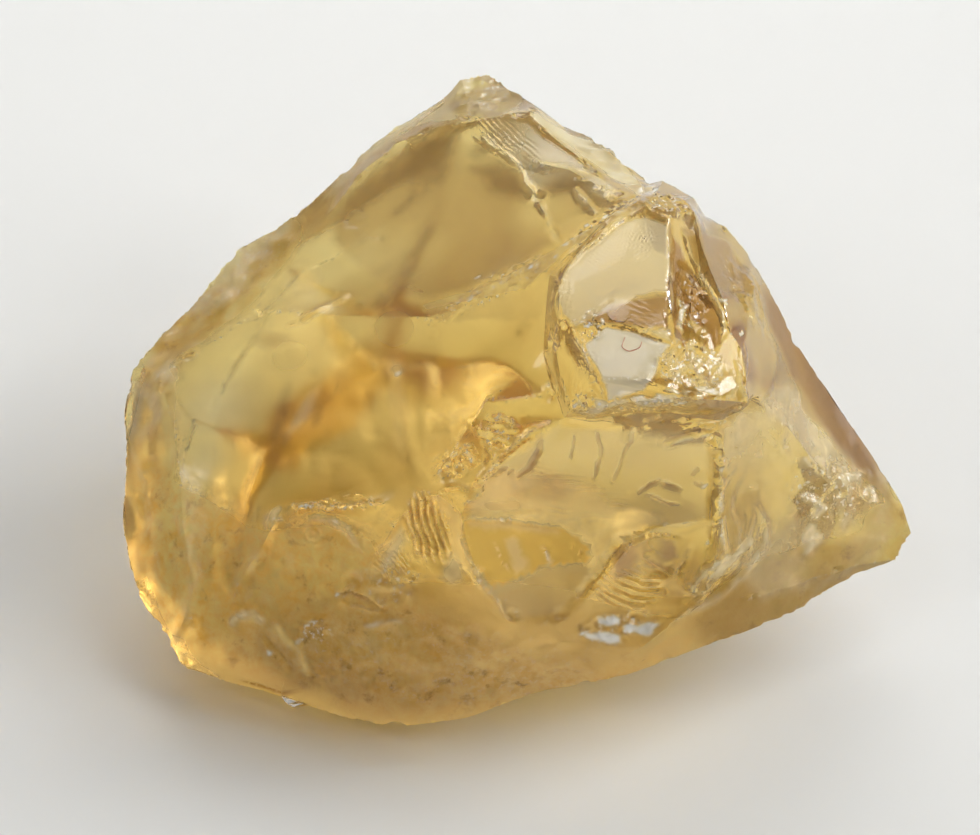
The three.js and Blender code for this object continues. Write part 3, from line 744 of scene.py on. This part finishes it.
def dishes(points, size, slope, cup=1):
    """Dished facets, tilted at random, that meet in sharp ridges: a height for each point,
    with its mean at 0. A cup of 0 makes them flat."""
    lift = np.full(len(points), np.inf)
    for seed in spaced(points, size * DISH_SPACING):
        tilt = np.clip(rng.normal(size=3), -STEEPEST, STEEPEST) * slope
        away = points - seed
        bowl = away @ tilt + (away ** 2).sum(axis=1) * slope * cup / size
        lift = np.minimum(lift, bowl)
    return lift - lift.mean()


def crumble_lift(points, flat, zone):
    """Chips of a crumbled edge."""
    share = window(flat, zone)
    inside = np.flatnonzero(share)
    share[inside] *= dishes(points[inside], zone["cell"], zone["tilt"])
    return share


def ripple(points, flat, zone):
    """The zone's points, how much each counts, and its height on rings that run about a
    centre, uneven in height and in spacing, from -1 to 1."""
    share = window(flat, zone)
    found = np.flatnonzero(share)
    away = np.hypot(*(flat[found] - zone["centre"]).T)
    stray = soft_noise(points[found], *RING_STRAY) * zone["stray"]
    uneven = RING_HEIGHT + (1 - RING_HEIGHT) * soft_noise(points[found], *RING_UNEVEN)
    wave = np.sin((away / zone["wave"] + stray) * 2 * math.pi)
    return found, share[found], wave * uneven


def stroke_share(flat, mark):
    """1 on a stroke's line, falling to 0 over one width on its left and another on its
    right, and fading at both ends."""
    share = np.zeros(len(flat))
    left, right = mark["width"]
    found = near_points(flat, mark["line"], max(left, right))
    near, side, place = line_gap(flat[found], mark["line"])
    profile = np.clip(1 - near / np.where(side > 0, left, right), 0, 1)
    taper = np.sqrt(np.clip(np.sin(place * math.pi), 0, 1))
    share[found] = profile * taper
    return share


def front_lift(points):
    """The height of the strokes, ripples, crumbled edges and old skin of the front."""
    flat = strayed(points)
    lift = np.zeros(len(points))
    for mark in STROKES:
        lift += stroke_share(flat, mark) * mark["height"]
    lift *= STROKE_HEIGHT + STROKE_STRAY * soft_noise(points, *STROKE_STRAYS)
    for zone in RIPPLES:
        found, share, wave = ripple(points, flat, zone)
        lift[found] += share * wave * zone["height"]
    for zone in CRUMBLES:
        lift += crumble_lift(points, flat, zone)
    lumps = layered_noise(points, SKIN_LUMPS)
    for zone in PATCHES:
        if "skin" in zone:
            lift += window(flat, zone) * zone["skin"] * lumps
    return lift


def strike(points, found, centre, outward, radius, depth):
    """Cuts a small shell-shaped scar: the surface inside a ball is pushed down to it."""
    ball = centre + outward * (radius - depth)
    away = points[found] - ball
    height = away @ outward
    aside = (away ** 2).sum(axis=1) - height ** 2
    hit = (aside + height ** 2) < radius ** 2
    floor = -np.sqrt(np.maximum(radius ** 2 - aside, 0))
    points[found] += outward * np.where(hit, floor - height, 0)[:, None]


def scar_ridges(points, normals, ridge_points, ridge_normals):
    """Strikes small scars along the ridges, most of them near the smallest size."""
    tree = kdtree.KDTree(len(points))
    for i, point in enumerate(points):
        tree.insert(point, i)
    tree.balance()
    smallest, largest = SCAR_SIZES
    for place in rng.choice(len(ridge_points), RIDGE_SCARS):
        outward = unit(ridge_normals[place] + rng.normal(size=3) * SCAR_STRAY)
        radius = smallest + (largest - smallest) * rng.random() ** SCAR_SKEW
        depth = radius * rng.uniform(*SCAR_DEPTHS)
        centre = ridge_points[place]
        found = np.array([i for _, i, _ in tree.find_range(centre, radius * SCAR_REACH)], int)
        found = found[normals[found] @ outward > SCAR_FACING]
        if len(found):
            strike(points, found, centre, outward, radius, depth)


# ------------------------------------------------------------- the stone's surface
SHARP_ANGLE = math.radians(32)
BACK_EDGE = 0.25
FRONT_EDGE = 0.12
RIDGE_EDGE = 0.08
FINEST_EDGE = 0.05
FRONT_LIMIT = -0.05
LEAST_SHARE = 0.01
EDGES_PER_WAVE = 4
STROKE_EDGE = 0.8
REFINE_ROUNDS = 3
ON_RIDGE = 0.4
LONGEST_EDGE = 0.7
LEAST_BULGE = 0.004
SOFTEN_ROUNDS = 8
BACK_SOFTNESS = 0.3
SOFT_BLEND = 0.3
SOFT_START = 0.5
SWELL = ((2.4, 0.05, 1), (0.9, 0.015, 2))
BACK_DISHES = dict(size=1.9, slope=0.3, cup=0.2)
BACK_STEPS = ((1.1, 0.12, 6), (0.5, 0.04, 7))
FRONT_FACING = 0.1
BACK_BLEND = 0.5
TURNED = 0.35
TURNED_BLEND = 0.4
THINNEST = 1.2
THIN_BLEND = 1.5
REST_HEIGHT = 0.5
REST_BLEND = 1.2
REST_HOLLOW = 0.1


def wanted_edges(points, normals, on_ridge):
    """How long an edge may be at each point: short on ridges and where the relief is fine."""
    flat = seen(points)
    front = normals[:, 2] > FRONT_LIMIT
    wanted = np.where(front, FRONT_EDGE, BACK_EDGE)
    wanted = np.minimum(wanted, np.where(on_ridge, RIDGE_EDGE, BACK_EDGE))
    fine = [(window(flat, zone) > LEAST_SHARE, zone["cell"] / EDGES_PER_WAVE) for zone in CRUMBLES]
    fine += [(window(flat, zone) > LEAST_SHARE, zone["wave"] / EDGES_PER_WAVE) for zone in RIPPLES]
    fine += [(stroke_share(flat, mark) > 0, min(mark["width"]) * STROKE_EDGE) for mark in STROKES]
    for shown, edge in fine:
        shown = shown & front
        wanted[shown] = np.minimum(wanted[shown], max(FINEST_EDGE, edge))
    return wanted


def refine(points, triangles, ridge_share):
    """Cuts every edge that is too long for what is wanted at its two ends together."""
    mesh = bpy.data.meshes.new("refining")
    mesh.from_pydata(points.tolist(), [], triangles.tolist())
    work = bmesh.new()
    work.from_mesh(mesh)
    bpy.data.meshes.remove(mesh)
    ridges = work.verts.layers.float.new("ridge")
    work.verts.ensure_lookup_table()
    for vert, share in zip(work.verts, ridge_share):
        vert[ridges] = share
    for _ in range(REFINE_ROUNDS):
        work.verts.index_update()
        work.verts.ensure_lookup_table()
        places = np.array([vert.co for vert in work.verts])
        work.normal_update()
        facing = np.array([vert.normal for vert in work.verts])
        share = np.array([vert[ridges] for vert in work.verts])
        wanted = wanted_edges(places, facing, share > ON_RIDGE)
        work.edges.ensure_lookup_table()
        ends = np.array([[vert.index for vert in edge.verts] for edge in work.edges])
        length = np.linalg.norm(places[ends[:, 0]] - places[ends[:, 1]], axis=1)
        cut = np.flatnonzero(length > LONGEST_EDGE * wanted[ends].sum(axis=1))
        if not len(cut):
            break
        long_edges = [work.edges[i] for i in cut]
        bmesh.ops.subdivide_edges(work, edges=long_edges, cuts=1)
        bmesh.ops.triangulate(work, faces=[f for f in work.faces if len(f.verts) > 3])
    work.verts.index_update()
    finer = np.array([vert.co for vert in work.verts])
    share = np.array([vert[ridges] for vert in work.verts])
    corners = np.array([[vert.index for vert in face.verts] for face in work.faces])
    work.free()
    return finer, corners, share


def soften(points, triangles, share):
    """Moves each point towards the middle of its neighbours, as far as its share says."""
    edges, _ = edges_of(triangles)
    ends = np.concatenate([edges[:, 0], edges[:, 1]])
    others = np.concatenate([edges[:, 1], edges[:, 0]])
    valence = np.bincount(ends, minlength=len(points))
    for _ in range(SOFTEN_ROUNDS):
        middle = np.stack([
            np.bincount(ends, points[others, axis], len(points)) / valence for axis in range(3)
        ], axis=1)
        points = points + (middle - points) * share[:, None]
    return points


def find_ridges(points, triangles, normals, creases):
    """The crease points that stick out, as a share of 0 or 1 for each point."""
    edges, _ = edges_of(triangles)
    ring, valence = neighbours(points, edges, len(points))
    bulge = ((points - ring / valence) * normals).sum(axis=1)
    share = np.zeros(len(points))
    on_crease = np.unique(creases)
    share[on_crease] = bulge[on_crease] > LEAST_BULGE
    return share


def back_lift(points, normals):
    """The broad dishes and small steps of the broken back. They fade out where the stone is
    thin, stick out only where it faces well away, and near the floor only cut inwards, so
    that the stone rests on a few low spots."""
    tree = kdtree.KDTree(len(points))
    for i in np.flatnonzero(normals[:, 2] > FRONT_FACING):
        tree.insert(points[i], i)
    tree.balance()
    share = smooth(-normals[:, 2] / BACK_BLEND)
    found = np.flatnonzero(share)
    thickness = np.array([tree.find(point)[2] for point in points[found]])
    share[found] *= smooth((thickness - THINNEST) / THIN_BLEND)
    lift = dishes(points[found], **BACK_DISHES)
    outward = smooth((-normals[found, 2] - TURNED) / TURNED_BLEND)
    lift = np.where(lift > 0, lift * outward, lift)
    height = to_row(points)[found, 2] / MM
    above = smooth((height - REST_HEIGHT) / REST_BLEND)
    low = np.minimum(lift - REST_HOLLOW, 0)
    steps = sum(
        np.abs(soft_noise(points[found], size, seed)) * rise for size, rise, seed in BACK_STEPS
    )
    share[found] *= low + (lift - low) * above - steps
    return share


def build_stone():
    points, triangles = welded(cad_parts["scapolite_rough"])
    points = to_face(points)
    creases = find_creases(points, triangles)
    for _ in range(SMOOTH_ROUNDS):
        points, triangles, creases = smooth_split(points, triangles, creases)
    normals = point_normals(points, triangles)
    ridge_share = find_ridges(points, triangles, normals, creases)
    ridge = ridge_share > 0
    ridge_points, ridge_normals = points[ridge], normals[ridge]
    points, triangles, ridge_share = refine(points, triangles, ridge_share)

    normals = point_normals(points, triangles)
    softness = BACK_SOFTNESS * smooth(-normals[:, 2] / SOFT_BLEND - SOFT_START)
    for zone in SOFT_EDGES:
        softness = np.maximum(softness, window(seen(points), zone) * (normals[:, 2] > 0))
    points = soften(points, triangles, softness)
    normals = point_normals(points, triangles)
    facing = front_share(normals)
    points += normals * layered_noise(points, SWELL)[:, None]
    points += normals * back_lift(points, normals)[:, None]
    points += normals * (front_lift(points) * facing)[:, None]
    scar_ridges(points, normals, ridge_points, ridge_normals)

    row = to_row(points)
    row[:, 2] = np.maximum(row[:, 2], 0)
    stone = make_mesh("stone", row, triangles)
    stone.data.shade_smooth()
    stone.data.set_sharp_from_angle(angle=SHARP_ANGLE)
    add_finish(stone, points, normals, ridge_share)
    return stone


# ------------------------------------------------------------- the fibre
# A short textile fibre lies curled on the bright facet: its places are in millimetres.
FIBRE = [(3.07, 1.83), (2.98, 1.60), (3.16, 1.49), (3.41, 1.58), (3.45, 1.72)]
FIBRE_RADIUS = 0.01
FIBRE_STEPS = 24
FIBRE_END = 0.6


def add_fibre(stone):
    corners = [vert.co for vert in stone.data.vertices]
    surface = BVHTree.FromPolygons(corners, [face.vertices for face in stone.data.polygons])
    camera = Vector(to_row(np.array([0, 0, CAMERA_DISTANCE])))
    ends = np.linspace(0, 1, len(FIBRE))
    steps = np.linspace(0, 1, FIBRE_STEPS)
    across, up = np.array(FIBRE).T
    for _ in range(2):
        across, up = np.interp(steps, ends, across), np.interp(steps, ends, up)
        ends = steps
        across[1:-1] = (across[:-2] + across[1:-1] + across[2:]) / 3
        up[1:-1] = (up[:-2] + up[1:-1] + up[2:]) / 3
    curve = bpy.data.curves.new("fibre", "CURVE")
    curve.dimensions = "3D"
    curve.bevel_depth = FIBRE_RADIUS * MM
    curve.bevel_resolution = 2
    curve.use_fill_caps = True
    spline = curve.splines.new("POLY")
    spline.points.add(FIBRE_STEPS - 1)
    for point, x, y, step in zip(spline.points, across, up, steps):
        towards = Vector(to_row(np.array([x, y, 0]))) - camera
        place, outward, _, _ = surface.ray_cast(camera, towards.normalized())
        point.co = (*(place + outward * FIBRE_RADIUS * MM), 1)
        point.radius = FIBRE_END + (1 - FIBRE_END) * math.sin(step * math.pi)
    return add_piece("fibre", curve)


# ------------------------------------------------------------- finish over the surface
TINTS = ("pale", "gold", "amber", "stain", "skin")
BACK_FROST = 0.46
FRONT_FROST = 0.12
FROST_PATCHES = (1.1, 21)
BACK_FROST_STRAY = 0.09
FRONT_FROST_CALM = 0.05
SKIN_ROUGHNESS = 0.34
LEFT_RIM = -6.6
LEFT_RIM_WIDTH = 1.2
FOOT_HEIGHT = 4
BACK_AMBER = 0.18
FOOT_AMBER = 0.75
BACK_STAIN = 0.05
FOOT_STAIN = 0.1
BACK_BLOTCHES = dict(size=0.9, seed=22, level=0.5, contrast=1)
RIDGE_WEAR = 0.45
CRUMBLE_WEAR = 2
PATCH_BLOTCHES = dict(seed=31, level=0.6, contrast=0.9)
TROUGH = 0.4
STROKE_BLOTCHES = dict(size=0.22, seed=32, level=0.75, contrast=0.7)
STROKE_STRENGTH = 1.3


def blotched(points, size, seed, level, contrast):
    """Soft blotches about a size across, from 0 to 1."""
    return smooth(level + contrast * soft_noise(points, size, seed))


def body_finish(points, front, ridge_share):
    """The finish before anything special: the back is frosted, the left rim is clear at the
    back too, and the foot is warmer."""
    finish = {name: np.zeros(len(points)) for name in TINTS}
    left = smooth((LEFT_RIM - points[:, 0]) / LEFT_RIM_WIDTH)
    back = BACK_FROST + (FRONT_FROST - BACK_FROST) * left
    finish["frost"] = back + (FRONT_FROST - back) * front
    stray = BACK_FROST_STRAY - FRONT_FROST_CALM * front
    finish["frost"] += soft_noise(points, *FROST_PATCHES) * stray
    foot = smooth(1 - to_row(points)[:, 2] / MM / FOOT_HEIGHT)
    finish["amber"] += (BACK_AMBER + FOOT_AMBER * foot) * (1 - front)
    blotchy = blotched(points, **BACK_BLOTCHES) * 2
    finish["stain"] += (BACK_STAIN + FOOT_STAIN * foot) * blotchy * (1 - front)
    finish["worn"] = RIDGE_WEAR * ridge_share * front
    return finish


def add_most(finish, place, zone, share):
    """Raises each tint at some points to what a zone gives there."""
    for name in TINTS:
        finish[name][place] = np.maximum(finish[name][place], share * zone.get(name, 0))


def add_finish(stone, points, normals, ridge_share):
    """How frosted, tinted and worn the surface is at each point, from 0 to 1."""
    flat = strayed(points)
    front = front_share(normals)
    finish = body_finish(points, front, ridge_share)
    for zone in CRUMBLES:
        worn = window(flat, zone) * front * min(1, zone["tilt"] * CRUMBLE_WEAR)
        finish["worn"] = np.maximum(finish["worn"], worn)
    for zone in PATCHES:
        share = window(flat, zone) * front
        found = np.flatnonzero(share)
        uneven = 1
        if "grain" in zone:
            uneven = blotched(points[found], zone["grain"], **PATCH_BLOTCHES)
        if "frost" in zone:
            finish["frost"] += (zone["frost"] - finish["frost"]) * share
        add_most(finish, found, zone, share[found] * uneven)
        finish["pale"][found] *= 1 - share[found] * zone.get("gold", 0)
    # Ripples tint their troughs; on the hackle the tint is painted shade.
    for zone in RIPPLES:
        found, share, wave = ripple(points, flat, zone)
        add_most(finish, found, zone, share * smooth(TROUGH - wave) * front[found])
    uneven = blotched(points, **STROKE_BLOTCHES)
    for mark in STROKES:
        share = smooth(stroke_share(flat, mark) * front * STROKE_STRENGTH)
        add_most(finish, slice(None), mark, share * uneven)
    finish["frost"] = np.maximum(finish["frost"], SKIN_ROUGHNESS * finish["skin"])
    for name, values in finish.items():
        layer = stone.data.attributes.new(name, "FLOAT", "POINT")
        layer.data.foreach_set("value", np.clip(values, 0, 1))


# ------------------------------------------------------------- materials
SCAPOLITE_IOR = 1.55
HONEY = (0.94, 0.64, 0.09, 1)
HONEY_DENSITY = 68
CLEAR_TINT = (1.0, 0.88, 0.42, 1)
AMBER_TINT = (0.95, 0.75, 0.13, 1)
# Besides their own colours, the stain tint paints shade, the gold tint paints glow and glints, and the
# pale tint paints sheen, reflections and highlights.
STAIN_AND_SHADE_TINT = (0.38, 0.20, 0.045, 1)
SKIN_TINT = (0.92, 0.55, 0.09, 1)
CREAM_TINT = (0.92, 0.70, 0.32, 1)
GOLD_AND_GLOW_TINT = (1.0, 0.66, 0.15, 1)
PALE_AND_SHEEN_TINT = (0.91, 0.885, 0.80, 1)
PALE_AND_SHEEN_MILK = 0.9
GOLD_AND_GLOW_MILK = 0.6
STAIN_AND_SHADE_MILK = 0.2
SKIN_MILK = 0.6
# Noise is given by its scale in lumps per metre, and by the values between which it rises
# from 0 to 1.
PALE_SPECKLE = (9000, 0.54, 0.70)
STAIN_SPECKLE = (3800, 0.50, 0.70)
STAIN_SPECKLE_SHARE = 0.3
SKIN_BLOTCHES = (1900, 0.22, 0.72)
CREAM_BLOTCHES = (3300, 0.48, 0.74)
CREAM_SHARE = 0.55
STAIN_BLOTCHES = (2300, 0.56, 0.74)
STAIN_BLOTCH_SHARE = 0.6
NOISE_ROUGHNESS = 0.6
SKIN_DISTORTION = 0.25
GRAIN_SCALE = 7000
GRAIN_HEIGHT = 0.012
FIBRE_IOR = 1.5
FIBRE_DARK = (0.42, 0.10, 0.07, 1)
FIBRE_LIGHT = (0.62, 0.26, 0.18, 1)
FIBRE_SCALE = 9000
FIBRE_ROUGHNESS = (0.45, 0.75)
FIBRE_BUMP = 0.4
FIBRE_BUMP_HEIGHT = 0.003
FLOOR_COLOUR = (0.78, 0.78, 0.755, 1)
FLOOR_ROUGHNESS = 0.5


def new_material(name):
    """A new material, its node tree and its surface shader."""
    material = bpy.data.materials.new(name)
    material.use_nodes = True
    return material, material.node_tree, shader(material, "BSDF_PRINCIPLED")


def shader(material, kind):
    return next(n for n in material.node_tree.nodes if n.type == kind)


def node(tree, kind, settings={}, inputs={}):
    """A new node with its settings, its constant inputs and its linked inputs."""
    made = tree.nodes.new(kind)
    for name, value in settings.items():
        setattr(made, name, value)
    for name, value in inputs.items():
        if isinstance(value, bpy.types.NodeSocket):
            tree.links.new(value, made.inputs[name])
        else:
            made.inputs[name].default_value = value
    return made


def scapolite_material():
    material, tree, glass = new_material("scapolite")
    glass.inputs["IOR"].default_value = SCAPOLITE_IOR
    place = node(tree, "ShaderNodeTexCoord").outputs["Object"]

    def layer(name):
        return node(tree, "ShaderNodeAttribute", {"attribute_name": name}).outputs["Fac"]

    def combine(operation, first, second):
        settings = {"operation": operation, "use_clamp": True}
        return node(tree, "ShaderNodeMath", settings, {0: first, 1: second}).outputs[0]

    def add(first, *others):
        for other in others:
            first = combine("ADD", first, other)
        return first

    def times(first, second):
        return combine("MULTIPLY", first, second)

    def blotches(where, scale, low, high, **noise_inputs):
        """Blotches of noise between 0 and 1, where a layer lets them show."""
        noise = node(tree, "ShaderNodeTexNoise", {}, {
            "Vector": place, "Scale": scale, "Roughness": NOISE_ROUGHNESS, **noise_inputs,
        })
        step = node(tree, "ShaderNodeMapRange", {"interpolation_type": "SMOOTHSTEP"}, {
            "Value": noise.outputs["Fac"], "From Min": low, "From Max": high,
        })
        return times(step.outputs["Result"], layer(where))

    def speckle(*grains):
        return blotches("worn", *grains, Detail=2)

    def mottles(*patches):
        return blotches("skin", *patches, Detail=4, Distortion=SKIN_DISTORTION)

    # The pale layer also carries painted sheen and highlights, the gold layer painted glow and glints,
    # and the stain layer painted shade.
    pale = add(layer("pale"), speckle(*PALE_SPECKLE))
    skin = mottles(*SKIN_BLOTCHES)
    cream = times(mottles(*CREAM_BLOTCHES), CREAM_SHARE)
    grains = times(speckle(*STAIN_SPECKLE), STAIN_SPECKLE_SHARE)
    stain = add(layer("stain"), grains, times(mottles(*STAIN_BLOTCHES), STAIN_BLOTCH_SHARE))
    gold = layer("gold")
    colour = CLEAR_TINT
    for share, tint in (
        (layer("amber"), AMBER_TINT),
        (skin, SKIN_TINT),
        (cream, CREAM_TINT),
        (stain, STAIN_AND_SHADE_TINT),
        (gold, GOLD_AND_GLOW_TINT),
        (pale, PALE_AND_SHEEN_TINT),
    ):
        mixed = node(tree, "ShaderNodeMix", {"data_type": "RGBA"}, {0: share, 6: colour, 7: tint})
        colour = mixed.outputs[2]
    tree.links.new(colour, glass.inputs["Base Color"])
    milks = (
        (pale, PALE_AND_SHEEN_MILK), (gold, GOLD_AND_GLOW_MILK), (stain, STAIN_AND_SHADE_MILK), (skin, SKIN_MILK), (cream, SKIN_MILK),
    )
    milky = add(*(times(share, milk) for share, milk in milks))
    tree.links.new(combine("SUBTRACT", 1.0, milky), glass.inputs["Transmission Weight"])
    frost = layer("frost")
    tree.links.new(frost, glass.inputs["Roughness"])

    grain = node(tree, "ShaderNodeTexNoise", {}, {
        "Vector": place, "Scale": GRAIN_SCALE, "Detail": 3, "Roughness": NOISE_ROUGHNESS,
    })
    fine = node(tree, "ShaderNodeBump", {}, {
        "Height": grain.outputs["Fac"], "Strength": frost, "Distance": GRAIN_HEIGHT * MM,
    })
    tree.links.new(fine.outputs["Normal"], glass.inputs["Normal"])

    honey = node(tree, "ShaderNodeVolumeAbsorption")
    honey.inputs["Color"].default_value = HONEY
    honey.inputs["Density"].default_value = HONEY_DENSITY
    tree.links.new(honey.outputs[0], shader(material, "OUTPUT_MATERIAL").inputs["Volume"])
    return material


def fibre_material():
    material, tree, thread = new_material("fibre")
    thread.inputs["IOR"].default_value = FIBRE_IOR
    place = node(tree, "ShaderNodeTexCoord").outputs["Object"]
    noise = node(tree, "ShaderNodeTexNoise", {}, {
        "Vector": place, "Scale": FIBRE_SCALE, "Detail": 3,
    })
    dye = node(tree, "ShaderNodeMix", {"data_type": "RGBA"}, {
        0: noise.outputs["Fac"], 6: FIBRE_DARK, 7: FIBRE_LIGHT,
    })
    tree.links.new(dye.outputs[2], thread.inputs["Base Color"])
    smoothest, roughest = FIBRE_ROUGHNESS
    matt = node(tree, "ShaderNodeMapRange", {}, {
        "Value": noise.outputs["Fac"], "To Min": smoothest, "To Max": roughest,
    })
    tree.links.new(matt.outputs["Result"], thread.inputs["Roughness"])
    ridges = node(tree, "ShaderNodeBump", {}, {
        "Height": noise.outputs["Fac"], "Strength": FIBRE_BUMP, "Distance": FIBRE_BUMP_HEIGHT * MM,
    })
    tree.links.new(ridges.outputs["Normal"], thread.inputs["Normal"])
    return material


def floor_material():
    material, _, paper = new_material("floor")
    paper.inputs["Base Color"].default_value = FLOOR_COLOUR
    paper.inputs["Roughness"].default_value = FLOOR_ROUGHNESS
    return material


# ------------------------------------------------------------- floor and light
# Lengths are in millimetres, angles in degrees and powers in watts.
FLOOR_SIZE = 3000
FLOOR_GAP = 0.02
WORLD_DIM = 0.08
WORLD_BRIGHT = 0.26
BRIGHT_SIDE = (-0.05, 0.66, 0.75)
BRIGHT_FROM = -0.4
BRIGHT_TO = 0.95
SOFTBOXES = {
    "key": dict(azimuth=68, elevation=31, distance=600, size=270, power=2.4),
    "over the knob's window": dict(azimuth=50, elevation=70, distance=100, size=26, power=0.0045),
    "over the bright facet": dict(azimuth=-158, elevation=63, distance=100, size=24, power=0.004),
    "back": dict(azimuth=-4, elevation=39, distance=110, size=72, power=0.046),
    "left": dict(azimuth=-115, elevation=48, distance=500, size=120, power=0.16),
    "front right": dict(azimuth=104, elevation=37, distance=500, size=200, power=0.6),
}


def add_floor():
    bpy.ops.mesh.primitive_plane_add(size=FLOOR_SIZE * MM, location=(0, 0, -FLOOR_GAP * MM))
    floor = bpy.context.object
    floor.name = "floor"
    floor.data.materials.append(floor_material())


def add_area(name, azimuth, elevation, distance, size, power):
    """A square softbox that faces the stone: azimuth 0 is behind it, 90 is at its right."""
    light = bpy.data.lights.new(name, "AREA")
    light.size = size * MM
    light.energy = power
    lamp = add_piece(name, light)
    level = math.cos(math.radians(elevation))
    towards = Vector((
        math.sin(math.radians(azimuth)) * level,
        math.cos(math.radians(azimuth)) * level,
        math.sin(math.radians(elevation)),
    ))
    lamp.location = towards * distance * MM
    lamp.rotation_euler = towards.to_track_quat("Z", "Y").to_euler()


def add_world():
    """A studio that is brightest high up behind the stone, and dim in front."""
    world = bpy.data.worlds.new("studio")
    bpy.context.scene.world = world
    world.use_nodes = True
    tree = world.node_tree
    view = node(tree, "ShaderNodeTexCoord").outputs["Generated"]
    towards = node(tree, "ShaderNodeVectorMath", {"operation": "DOT_PRODUCT"}, {
        0: view, 1: BRIGHT_SIDE,
    })
    level = node(tree, "ShaderNodeMapRange", {"interpolation_type": "SMOOTHSTEP"}, {
        "Value": towards.outputs["Value"], "From Min": BRIGHT_FROM, "From Max": BRIGHT_TO,
        "To Min": WORLD_DIM, "To Max": WORLD_BRIGHT,
    })
    sky = tree.nodes["Background"]
    sky.inputs["Color"].default_value = (1, 1, 1, 1)
    tree.links.new(level.outputs["Result"], sky.inputs["Strength"])


# ------------------------------------------------------------- the scene
MOST_BOUNCES = 10
NOISE_THRESHOLD = 0.1
LEAST_SAMPLES = 12

add_camera()
stone = build_stone()
stone.data.materials.append(scapolite_material())
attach(stone, "root")
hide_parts("scapolite_rough")
fibre = add_fibre(stone)
fibre.data.materials.append(fibre_material())
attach(fibre, "root")
add_floor()
add_world()
for name, softbox in SOFTBOXES.items():
    add_area(name, **softbox)

cycles = bpy.context.scene.cycles
cycles.max_bounces = MOST_BOUNCES
cycles.transmission_bounces = MOST_BOUNCES
cycles.adaptive_threshold = NOISE_THRESHOLD
cycles.adaptive_min_samples = LEAST_SAMPLES
cycles.use_denoising = True
bpy.context.scene.view_settings.view_transform = "Standard"
